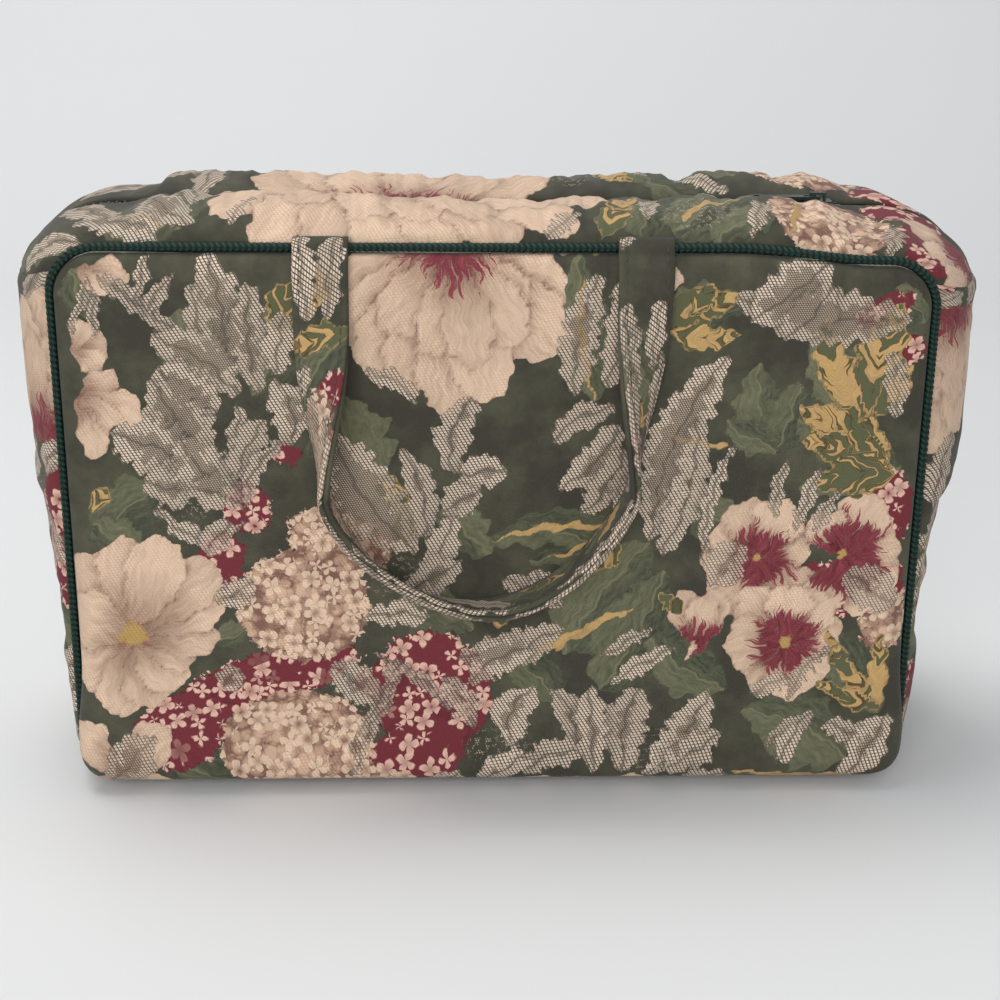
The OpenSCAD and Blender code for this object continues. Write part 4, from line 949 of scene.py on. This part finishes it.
def spread(moved, a, b):
    """Reads a coarse grid of shifts as a smooth surface at the points of a fine grid."""
    sides = []
    for at, count in ((b, moved.shape[0]), (a, moved.shape[1])):
        base = np.floor(at * (count - 1)).astype(int)
        t = at * (count - 1) - base
        weights = ((1 - t) ** 3 / 6, (3 * t ** 3 - 6 * t ** 2 + 4) / 6,
                   (-3 * t ** 3 + 3 * t ** 2 + 3 * t + 1) / 6, t ** 3 / 6)
        sides.append([(np.clip(base + k - 1, 0, count - 1), weights[k]) for k in range(4)])
    total = sum(moved[row, column] * (low * side)[:, None] for row, low in sides[0]
                for column, side in sides[1])
    rows, columns = moved.shape[0] - 1, moved.shape[1] - 1
    edge = np.minimum(np.minimum(b, 1 - b) * rows, np.minimum(a, 1 - a) * columns)
    return total * smooth(edge)[:, None]


# %% [markdown]
# A cloth piece puts a shape, the print and the jacquard together. A live Solidify modifier gives the
# sheet its thickness towards the inside, so the face that shows keeps its place. Each piece prints
# its size as sewn and its number of triangles a face.

# %% Front and back panels
def cloth_piece(name, shape, across, up, design, shift, node, moved=None):
    """A sheet of jacquard in the shape that a function gives. shift moves its print, moved its cloth."""
    mesh, a, b = flat_grid(name, across, up)
    points, place = shape(a, b)
    if moved is not None:
        points = points + spread(moved, a, b)
    points = droop(points)
    move_points(mesh, points)
    lay_print(mesh, place + shift, design)
    mesh.materials.append(JACQUARD)
    piece = shown_object(name, mesh, "bag", "jacquard", node)
    wall = piece.modifiers.new("thickness", "SOLIDIFY")
    wall.thickness = CLOTH_T * MM
    wall.offset = -1
    size = points.max(0) - points.min(0)
    print(f"{name}: {size[0]:.0f} x {size[1]:.0f} x {size[2]:.0f} mm, {2 * across * up} triangles a face")


cloth_piece("panel_front", panel_shape, 264, 172, PRINT, [0, 0], "front_panel")
cloth_piece("panel_back", functools.partial(panel_shape, side=1, seed=5), 170, 112, PRINT, [150, 40],
            "back_panel")

# %% Top strips and side gusset
STRIP_PRINT = {
    "repeat": (400, 170),
    "leaf": [
        ((52, 0), (64, 46), 12, 2), ((62, 4), (96, 34), 15, -2), ((78, 0), (102, 18), 9, 1),
        ((60, 40), (92, 56), 9, 2), ((-112, 4), (-150, 34), 14, 3), ((-126, 0), (-104, 40), 10, -2),
        ((-158, 2), (-176, 30), 10, 0), ((-20, 48), (22, 60), 8, 3)],
    "wine": [((160, 14), (14, 20), 10), ((150, 40), (12, 10), 0), ((-60, 56), (12, 8), 0)],
    "heads": [((122, 20), (23, 24), 0)],
    "flowers": [
        ((-38, 70), 0.3, 0.0, [
            ((-108, 34), 14), ((-102, 12), 13), ((-86, -4), 12), ((-64, -6), 13), ((-42, -8), 13),
            ((-18, -6), 13), ((6, -4), 13), ((28, 4), 12), ((40, 24), 13), ((-74, 20), 12),
            ((-50, 12), 12), ((-26, 12), 12), ((-2, 14), 12), ((20, 24), 12)]),
        ((174, 34), 0.5, 0.1, [((150, 26), 9), ((158, 10), 9), ((176, 4), 9), ((190, 20), 8)])],
    "gold": [
        ((38, 2), (50, 26), 6, 1), ((42, 16), (54, 40), 5, 1), ((66, 8), (90, 28), 1.8, 2),
        ((-118, 6), (-146, 30), 2.2, 2), ((106, 4), (112, 30), 1.6, 0)],
    "floats": [
        ((-110, 6), (-128, 34), 9, 2, 7), ((-120, 2), (-150, 16), 8, -2, 6),
        ((-136, 10), (-152, 44), 7, 1, 6), ((-150, 2), (-176, 18), 7, 0, 6),
        ((-108, 20), (-112, 50), 6, 0, 6), ((54, 8), (60, 36), 3.4, 1, 6), ((92, 2), (98, 26), 4, 0, 5),
        ((70, 34), (92, 46), 5, 0, 5), ((142, 0), (146, 24), 4, 0, 5), ((-96, 6), (-88, 24), 3, 0, 4),
        ((18, 2), (30, 16), 4, 0, 4)],
    "snow": [((74, 16), (16, 12), 20), ((-130, 20), (20, 14), 0), ((30, 30), (10, 12), 0)],
}
BACK_STRIP_PRINT = dict(STRIP_PRINT, flowers=[
    ((-34, 66), 0.45, 0.0, [
        ((-92, 30), 13), ((-80, 8), 13), ((-58, -2), 13), ((-34, -4), 13), ((-10, -2), 13),
        ((12, 6), 12), ((22, 28), 12), ((-60, 20), 12), ((-30, 14), 12), ((0, 20), 12)]),
    STRIP_PRINT["flowers"][1]])
back_strip_shape = functools.partial(strip_shape, side=1, seed=17)
strip_loose, gusset_loose = (0.03, 0.86), (0.03, 0.97)
cloth_piece("strip_front", strip_shape, 280, 44, STRIP_PRINT, [0, 0], "top_strip_front",
            settle(strip_shape, 96, 14, 0.05, strip_loose))
cloth_piece("strip_back", back_strip_shape, 230, 36, BACK_STRIP_PRINT, [0, 0], "top_strip_back",
            settle(back_strip_shape, 96, 14, 0.05, strip_loose))
cloth_piece("gusset", gusset_shape, 340, 60, PRINT, [40, 80], "side_gusset",
            settle(gusset_shape, 180, 30, 0.03, gusset_loose, 2.0))

# %% [markdown]
# A handle is a strip of the same cloth, folded inwards on both sides and then in half, and stitched
# along both edges. It lies flat where it is sewn in under the cord, turns on edge on its way down and
# hangs as a loop, so that its inner edge, where the two folds meet in a groove, faces us. Its
# cross-section is swept along the hanging line, and its place on the flat cloth runs once round it.

# %% Line of a handle
STRAP_W, STRAP_L, STRAP_T, STRAP_END_T, STRAP_X, STRAP_GAP = 20.0, 330.0, 4.2, 1.8, -4.7, 0.9
HALF_SPAN, LEG_LEAN, TURN_Z, LOOP_Z = 58.0, 3.0, 128.0, 82.0
# Shares of the length where the sewn end and the straight leg stop, and a short step along it
END_PART, LEG_PART, STEP = 0.03, 0.255, 0.003
# How far the stitches lie in from an edge, how deep they pull and how wide their dip is
STITCH_IN, STITCH_DIP, DIP_W = 2.5, 0.28, 0.55
# Where the strap starts to turn on its left and on its right, where it has turned, and how far the
# left of its loop leans back, about which place and over what reach
TURN_LEFT, TURN_RIGHT, TURNED = 0.065, 0.03, 0.275
LEAN_BACK, LEAN_AT, LEAN_REACH = 20, 0.42, 0.08
# Where the back handle's cloth was cut, further along the print
BACK_SHIFT = 70


def from_end(u):
    """Distance from the nearer end of the strap, as a share of its length."""
    return 0.5 - np.abs(u - 0.5)


def strap_thick(u):
    """Thickness of the strap, thinner where it is sewn in."""
    return STRAP_END_T + (STRAP_T - STRAP_END_T) * smooth(from_end(u) / 0.12)


def strap_twist(u):
    """Turn about its own line, in radians, from flat on the panel to on edge."""
    start = np.where(u < 0.5, TURN_LEFT, TURN_RIGHT)
    turned = smooth((from_end(u) - start) / (TURNED - start))
    return np.radians(90 * turned - LEAN_BACK * np.exp(-((u - LEAN_AT) / LEAN_REACH) ** 2))


def strap_out(x, z, u):
    """How far in front of the bag's middle plane the strap's own middle lies."""
    turn, half = strap_twist(u), strap_thick(u) / 2
    half_in = STRAP_W / 2 * np.sin(turn) + half * np.cos(turn)
    low = z - STRAP_W / 2 * np.cos(turn) - half * np.sin(turn)
    near = np.maximum(HALF_D + CORD_R, HALF_D + CLOTH_T / 2 + stand_out(x, z))
    far = HALF_D + CLOTH_T / 2 + CROWN + BELLY * np.exp(-((low - BELLY_Z) / BELLY_REACH) ** 2)
    return near + (far - near) * smooth((SEAM_TOP - z) / BORDER) + STRAP_GAP + half_in


def strap_mid(u):
    """Middle line of the front handle, from its left end to its right end."""
    v, s = from_end(u), np.where(u < 0.5, -1.0, 1.0)
    lean = np.where(u < 0.5, 0.0, LEG_LEAN)
    bent = CORD_R + 0.3 + (STRAP_GAP - 0.3) * smooth(v / END_PART) + STRAP_END_T / 2
    over = np.radians(-20 + 110 * v / END_PART)
    ends = np.stack([STRAP_X + s * HALF_SPAN, -HALF_D - bent * np.sin(over),
                     SEAM_TOP + bent * np.cos(over)], 1)
    down = (v - END_PART) / (LEG_PART - END_PART)
    x, z = STRAP_X + s * (HALF_SPAN - lean * smooth(down)), SEAM_TOP + (TURN_Z - SEAM_TOP) * down
    legs = np.stack([x, -strap_out(x, z, u), z], 1)
    turn = np.pi / 2 * np.clip((v - LEG_PART) / (0.5 - LEG_PART), 0, 1)
    x = STRAP_X + s * (HALF_SPAN - lean) * np.cos(turn)
    z = TURN_Z + (LOOP_Z - TURN_Z) * np.sin(turn) ** np.where(u < 0.5, 1.3, 1.6)
    loop = np.stack([x, -strap_out(x, z, u), z], 1)
    return np.where(v[:, None] < END_PART, ends, np.where(v[:, None] < LEG_PART, legs, loop))


def strap_frame(u):
    """Middle line, direction across to the inner edge, and direction up from the face."""
    ahead = unit(strap_mid(u + STEP) - strap_mid(u - STEP))
    flat = np.stack([np.where(u < 0.5, 1.0, -1.0), 0 * u, 0 * u], 1)
    bent = unit(np.stack([-ahead[:, 2], 0 * u, ahead[:, 0]], 1))
    inwards = np.where(from_end(u)[:, None] < LEG_PART, flat, bent)
    turn = strap_twist(u)[:, None]
    lean = np.cos(turn) * inwards - np.sin(turn) * [0, 1, 0]
    across = unit(lean - ahead * np.sum(lean * ahead, 1, keepdims=True))
    return strap_mid(u), across, np.cross(ahead, across)


# %% Handles
def strap_section():
    """Cross-section from the groove round the strap: place across, share of half thickness, and up."""
    half = STRAP_W / 2
    lip = np.radians(np.arange(-60, 91, 30))
    upper = np.stack([np.full(6, half), (np.cos(lip) - 1) / 2, (1 + np.sin(lip)) / 2], 1)
    flat = np.linspace(half - 1.5, 2.2 - half, 14)
    sewn = 1 - STITCH_DIP * np.exp(-((np.abs(flat) - half + STITCH_IN) / DIP_W) ** 2)
    face = np.stack([flat, 0 * flat, sewn], 1)
    edge = np.radians([60, 30, 0])
    fold = np.stack([np.full(3, -half), 1 - np.cos(edge), np.sin(edge)], 1)
    rows = np.concatenate([[[half, -0.9, 0]], upper, face, fold])
    return np.concatenate([rows, (rows * [1, 1, -1])[-2::-1]])


def strap_points(u, section, front=True):
    """Points of a strap where u, a row of the section and the strap's own creases put them."""
    mid, across, up = strap_frame(u)
    half = strap_thick(u)[:, None] / 2
    along = u[:, None] * STRAP_L
    side = section[:, 0:1] + section[:, 1:2] * half
    crease = 1 + 0.07 * ripple(along * 0.9 + 2 * np.sign(section[:, 2:3]), 41) * (np.abs(side) < 9)
    points = mid + across * side + up * section[:, 2:3] * half * crease
    return points if front else points * [-1, -1, 1]


STRAP_PRINT = {
    "repeat": (400, 60),
    "leaf": [
        ((34, 2), (60, 22), 9, 2), ((92, 8), (60, 18), 6, -2), ((296, 4), (276, 20), 10, 2),
        ((246, 30), (206, 36), 9, 3), ((205, 28), (168, 34), 8, -2), ((160, 30), (130, 38), 7, 2),
        ((240, 6), (262, 18), 7, -2), ((110, 10), (140, 16), 7, 2), ((214, 16), (250, 10), 9, 0),
        ((276, 34), (320, 32), 10, 0)],
    "wine": [
        ((52, 7), (6, 6), 0), ((72, 16), (4, 4), 0), ((86, 7), (4, 3), 0), ((120, 34), (9, 6), 0),
        ((262, 6), (5, 4), 0), ((62, 34), (12, 7), 0)],
    "heads": [((74, 12), (22, 12), 0), ((104, 12), (9, 8), 0), ((100, 34), (12, 8), 0)],
    "flowers": [],
    "gold": [
        ((34, 2), (41, 26), 4.6, 1), ((16, 6), (30, 18), 2.4, 1), ((14, 14), (26, 8), 1.6, 1),
        ((266, 10), (277, 15), 4.4, 0), ((232, 30), (212, 38), 2.8, 1), ((196, 36), (178, 30), 2.8, 1),
        ((222, 26), (206, 30), 2, 1), ((258, 12), (246, 18), 2.4, 0)],
    "floats": [
        ((2, 6), (32, 10), 5, 2, 5), ((2, 20), (32, 17), 5, 1, 5), ((304, 5), (286, 8), 5, 1, 5),
        ((306, 19), (284, 16), 4, 1, 5), ((296, 8), (268, 7), 4, 1, 5), ((44, 18), (56, 22), 4, 1, 4),
        ((54, 16), (92, 18), 7, 1, 8), ((58, 7), (96, 6), 5, -1, 7), ((88, 14), (118, 16), 7, 1, 6),
        ((321, 5), (329, 7), 2.4, 0, 3), ((286, 5), (246, 7), 4, 1, 8), ((290, 21), (256, 20), 4, 1, 7),
        ((250, 13), (222, 10), 6, 2, 6), ((126, 8), (162, 10), 6, 1, 8),
        ((136, 18), (170, 20), 5, 0, 6), ((208, 6), (236, 4), 4, 0, 6), ((206, 18), (236, 20), 4, 0, 6),
        ((252, 38), (236, 28), 5, 1, 5), ((176, 40), (146, 30), 5, 1, 6),
        ((120, 30), (96, 30), 5, 1, 6), ((94, 2), (168, 3), 3, 0, 12), ((172, 3), (250, 2), 3, 0, 12),
        ((110, 45), (182, 44), 2.8, 0, 10), ((190, 44), (244, 45), 2.8, 0, 10)],
    "snow": [
        ((240, 12), (30, 12), 0), ((70, 33), (30, 10), 0), ((282, 33), (22, 9), 0),
        ((170, 12), (20, 10), 0)],
}


def handle(name, node, front, steps=330):
    """A strap, swept from end to end, with the dips that its stitches pull in."""
    section = strap_section()
    steps_round = len(section) - 1
    mesh, a, b = flat_grid(name, steps_round, steps)
    row = section[np.rint(a * steps_round).astype(int)]
    points = strap_points(b, row, front)
    # The way round the section, taken where half the thickness is 2 mm
    flat = section[:, :1] + section[:, 1:2] * 2, section[:, 2:3] * 2
    steps_long = np.linalg.norm(np.diff(np.concatenate(flat, 1), axis=0), axis=1)
    reached = np.concatenate([[0], np.cumsum(steps_long)])
    round_it = np.interp(a, np.linspace(0, 1, steps_round + 1), reached)
    move_points(mesh, points)
    lay_print(mesh, np.stack([b * STRAP_L + (0 if front else BACK_SHIFT), round_it], 1), STRAP_PRINT)
    close_mesh(mesh)
    mesh.materials.append(JACQUARD)
    strap = shown_object(name, mesh, "bag", "jacquard", node)
    print(f"{name}: {len(mesh.polygons)} faces, {steps_long.sum():.0f} mm round")


handle("handle_strap_front", "handle_front", True)
handle("handle_strap_back", "handle_back", False, 250)

# %% Stitches of the handles
STITCH_PITCH, STITCH_LONG, STITCH_R = 3.0, 2.4, 0.3
# Shares of the strap's length between which it is stitched, and of its half thickness
STITCH_FROM, STITCH_TO, STITCH_UP = 0.03, 0.97, 0.84


def dashes(name, places, ahead, out, long, radius):
    """Many small ellipsoids in one mesh, one a stitch, laid along ahead on a face that looks out."""
    bm = bmesh.new()
    bmesh.ops.create_uvsphere(bm, u_segments=6, v_segments=4, radius=1)
    one = bpy.data.meshes.new(name)
    bm.to_mesh(one)
    bm.free()
    shape = np.array([vert.co for vert in one.vertices]) * [radius, radius, long / 2]
    # The operator's faces come in a new order on each run, so they are sorted
    corners = sorted(tuple(face.vertices) for face in one.polygons)
    aside = unit(np.cross(ahead, out))
    axes = np.stack([aside, np.cross(ahead, aside), ahead])
    points = places[:, None] + np.einsum("vk,kni->nvi", shape, axes)
    faces = [[k + n * len(shape) for k in face] for n in range(len(places)) for face in corners]
    mesh = bpy.data.meshes.new(name)
    mesh.from_pydata((points.reshape(-1, 3) * MM).tolist(), [], faces)
    close_mesh(mesh)
    return mesh


def stitch_rows(name, front=True):
    """Two rows of stitches on each face of a handle."""
    count = round(STRAP_L * (STITCH_TO - STITCH_FROM) / STITCH_PITCH)
    u = np.tile(np.linspace(STITCH_FROM, STITCH_TO, count), 4)
    edge = np.repeat([1, 1, -1, -1], count) * (STRAP_W / 2 - STITCH_IN)
    face = np.repeat([1, -1, 1, -1], count) * STITCH_UP
    section = np.stack([edge, 0 * edge, face], 1)
    places = strap_points(u, section, front)
    ahead = unit(strap_points(u + STEP, section, front) - strap_points(u - STEP, section, front))
    out = unit(places - strap_points(u, section * [1, 1, -1], front))
    mesh = dashes(name, places, ahead, out, STITCH_LONG, STITCH_R)
    mesh.materials.append(THREAD)
    shown_object(name, mesh, "bag", "jacquard")
    print(f"{name}: {len(places)} stitches")


THREAD, tree, output = new_material("cotton_thread")
shader = add(tree, "BsdfPrincipled", {"Base Color": hexa("#3b3c33"), "Roughness": 0.7}, out="BSDF")
tree.links.new(shader, output.inputs["Surface"])
stitch_rows("stitches_front")
stitch_rows("stitches_back", False)

# %% [markdown]
# The edging is a braided cotton cord sewn into each seam. Its strands cross in a chevron, four columns
# of them round the cord, each about 2.2 mm long. The cord is a tube that runs once round the seam and
# closes on itself, with its own joint turned to the inside.

# %% Cord edging
CORD_STEPS, CORD_SIDES, PLAIT = 2240, 16, 2.2


def seam_line(steps):
    """Even points of the seam's outline from the middle of the top, and the directions out of it."""
    quarter = np.linspace(0, np.pi / 2, 80)
    low = np.stack([BOTTOM_RUN + BOTTOM_R * np.cos(quarter), BOTTOM_CZ - BOTTOM_R * np.sin(quarter)], 1)
    right = np.concatenate([[[0, SEAM_TOP]], on_bend(TOP_RUN, quarter, TOP_R, TOP_CZ), low,
                            [[0, SEAM_LOW]]])
    line = np.concatenate([right, (right * [-1, 1])[-2::-1]])
    reached = np.concatenate([[0], np.cumsum(np.linalg.norm(np.diff(line, axis=0), axis=1))])
    s = np.linspace(0, reached[-1], steps, endpoint=False)
    line = np.stack([np.interp(s, reached, line[:, k]) for k in (0, 1)], 1)
    ahead = unit(np.roll(line, -2, 0) - np.roll(line, 2, 0))
    return line, np.stack([-ahead[:, 1], ahead[:, 0]], 1), reached[-1]


def cord(name, node, side):
    """A braided cord round the seam. side is -1 for the front and 1 for the back."""
    line, out, length = seam_line(CORD_STEPS)
    mesh, a, b = flat_grid(name, CORD_SIDES, CORD_STEPS)
    at = np.rint(b * CORD_STEPS).astype(int) % CORD_STEPS
    angle = 2 * np.pi * a
    column = np.floor(4 * a % 4)
    across = 2 * (4 * a % 1) - 1
    turns = round(length / PLAIT)
    ridge = 0.5 + 0.5 * np.cos(2 * np.pi * (b * turns + 0.3 * across * (-1) ** column))
    relief = ridge * (1 - 0.75 * across ** 4)
    radius = CORD_R * (0.8 + 0.2 * relief)
    up, back = radius * np.sin(angle), radius * np.cos(angle)
    points = np.stack([line[at, 0] + out[at, 0] * up, side * (HALF_D - back),
                       line[at, 1] + out[at, 1] * up], 1)
    move_points(mesh, droop(points))
    keep_place(mesh, np.stack([relief, angle * CORD_R, b * length], 1), "braid")
    close_mesh(mesh)
    mesh.materials.append(CORD)
    shown_object(name, mesh, "bag", "cord", node)
    print(f"{name}: {length:.0f} mm long, {turns} strands a column, {2 * len(mesh.polygons)} triangles")


# Braided cotton, matt. Its colour follows the braid's relief: a slight painted highlight on the strands
# and painted shade, near black, in the grooves between them
CORD, tree, output = new_material("braided_cotton")
braid = add(tree, "Attribute", out="Vector", attribute_name="braid")
relief = add(tree, "SeparateXYZ", braid, out="X")
fibre = add(tree, "TexNoise", {"Vector": braid, "Scale": 2.5, "Detail": 3.0})
tone = add(tree, "Math", fibre, 0.5, relief, operation="MULTIPLY_ADD")
colour = add(tree, "Mix", {0: add(tree, "MapRange", tone, 0.35, 1.25), 6: hexa("#04100c"),
                           7: hexa("#1d4136")}, **BLEND)
bump = add(tree, "Bump", {"Strength": 0.4, "Distance": 0.2 * MM, "Height": fibre})
shader = add(tree, "BsdfPrincipled", {"Base Color": colour, "Roughness": 0.7, "Normal": bump,
                                      "Specular IOR Level": 0.25}, out="BSDF")
tree.links.new(shader, output.inputs["Surface"])
cord("cord_edging_front", "cord_front", -1)
cord("cord_edging_back", "cord_back", 1)

# %% [markdown]
# The zip is a nylon coil: close loops, sewn along the edges of two woven tapes. The coil of each tape is
# drawn as a row of rounded loops that mesh with the other's. The slider and its pull are die-cast zinc
# under dark green enamel, which rounds every edge a little, so copies of them get small bevels.

# %% Coil of the zip
COIL_PITCH, COIL_R, COIL_LONG = 3.0, 0.6, 3.5
# How far a loop's middle lies from the zip's own, and how far short of the slider the coil ends
COIL_OFF, COIL_SHORT = 1.15, 0.7
# The angle at the left shoulder's join that the coil leaves free
COIL_FREE = math.radians(5)


def coil_places(shift):
    """Places along the zip, from the left shoulder to the slider, and the directions out of it."""
    high = np.array(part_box("zip_teeth_front")[1]) / MM
    radius = ZIP_R + high[2] - ZIP_TOP - COIL_R
    bend = ZIP_R * (JOIN_A - COIL_FREE)
    along = np.arange(-TOP_RUN - bend + shift, high[0] - COIL_SHORT, COIL_PITCH)
    angle = np.clip(along + TOP_RUN, None, 0) / ZIP_R
    x = np.maximum(along, -TOP_RUN)
    flat = on_bend(x, angle, radius, ZIP_CZ)
    out = np.stack([np.sin(angle), 0 * angle, np.cos(angle)], 1)
    return flat, out


def coil(name, node, side, shift):
    """A row of loops, each reaching from its tape a little past the middle of the zip."""
    flat, out = coil_places(shift)
    places = np.stack([flat[:, 0], np.full(len(flat), side * COIL_OFF), flat[:, 1]], 1)
    across = np.tile([0.0, 1.0, 0.0], (len(places), 1))
    mesh = dashes(name, droop(places), across, out, COIL_LONG, COIL_R)
    mesh.materials.append(NYLON)
    shown_object(name, mesh, "bag", "zip_teeth", node)
    print(f"{name}: {len(places)} loops")


def plain(name, dark, light, rough, scale, relief=0.1, bands=None):
    """A finish with a fine even texture, woven where bands names a direction."""
    material, tree, output = new_material(name)
    place = add(tree, "TexCoord", out="Object")
    if bands:
        texture = add(tree, "TexWave", {"Vector": place, "Scale": scale, "Distortion": 1.0}, out="Fac",
                      bands_direction=bands)
    else:
        texture = add(tree, "TexNoise", {"Vector": place, "Scale": scale, "Detail": 3.0})
    colour = add(tree, "Mix", {0: texture, 6: hexa(dark), 7: hexa(light)}, **BLEND)
    bump = add(tree, "Bump", {"Strength": relief, "Distance": 0.2 * MM, "Height": texture})
    shader = add(tree, "BsdfPrincipled", {"Base Color": colour, "Roughness": rough, "Normal": bump},
                 out="BSDF")
    tree.links.new(shader, output.inputs["Surface"])
    return material


# Nylon is smooth and a little glossy
NYLON = plain("nylon_coil", "#161c19", "#242c28", 0.35, 400)
coil("zip_coil_front", "zip_teeth_front", -1, 0.0)
coil("zip_coil_back", "zip_teeth_back", 1, COIL_PITCH / 2)

# %% Slider, pull, tapes, linings and bindings
# Enamel on die-cast zinc, smooth and faintly uneven
METAL = plain("green_enamel_on_zinc", "#17241f", "#22332c", 0.32, 900, 0.05)
# Woven polyester tape, its ribs at 1.2 mm since the real 0.5 mm is too fine to show
TAPE = plain("polyester_tape", "#20241f", "#353a33", 0.75, 520, 0.4, "X")
# Coated cotton lining, ivory and slightly shiny
LINING = plain("coated_cotton", "#c6bfa9", "#d9d3c1", 0.5, 700, 0.2, "DIAGONAL")
# Bias binding of plain cotton
BINDING = plain("cotton_binding", "#252823", "#383b34", 0.8, 800, 0.3, "DIAGONAL")

for node, material in (("top_stop_front", METAL), ("top_stop_back", METAL), ("binding_back", BINDING),
                       ("lining_back", LINING)):
    for slot in bpy.data.objects[node].material_slots:
        slot.material = material


def dressed(node, material, moves=False):
    """A closed copy of a CAD node's mesh in a finish, moved with the cloth or left in its place."""
    mesh = bpy.data.objects[node].data.copy()
    if moves:
        points = np.array([vert.co for vert in mesh.vertices]) / MM
        move_points(mesh, droop(points))
    close_mesh(mesh, rounded=False)
    mesh.materials.clear()
    mesh.materials.append(material)
    return mesh


# The pieces behind the front's right shoulder and inside the left side move with the cloth
for slot, material, nodes in (
        ("binding", BINDING, ("binding_front",)),
        ("lining", LINING, ("lining_front", "lining_strip_front", "lining_gusset", "lining_strip_back")),
        ("zip_tape", TAPE, ("zip_tape_front", "zip_tape_back")),
        ("zip_metal", METAL, ("bottom_stop",))):
    for node in nodes:
        shown_object(node + "_sewn", dressed(node, material, moves=True), "bag", slot, node)

# The castings keep their place on their own bodies and get rounded edges
BEVEL_W = 0.25
for node, body in (("zip_slider", "slider"), ("zip_pull", "pull")):
    mesh = dressed(node, METAL)
    cast = shown_object(node + "_cast", mesh, body, "zip_metal", node)
    bevel = cast.modifiers.new("rounded_edges", "BEVEL")
    bevel.width = BEVEL_W * MM
    bevel.segments = 2
    bevel.limit_method = "ANGLE"
    print(f"{cast.name}: {len(mesh.polygons)} faces before its bevels")
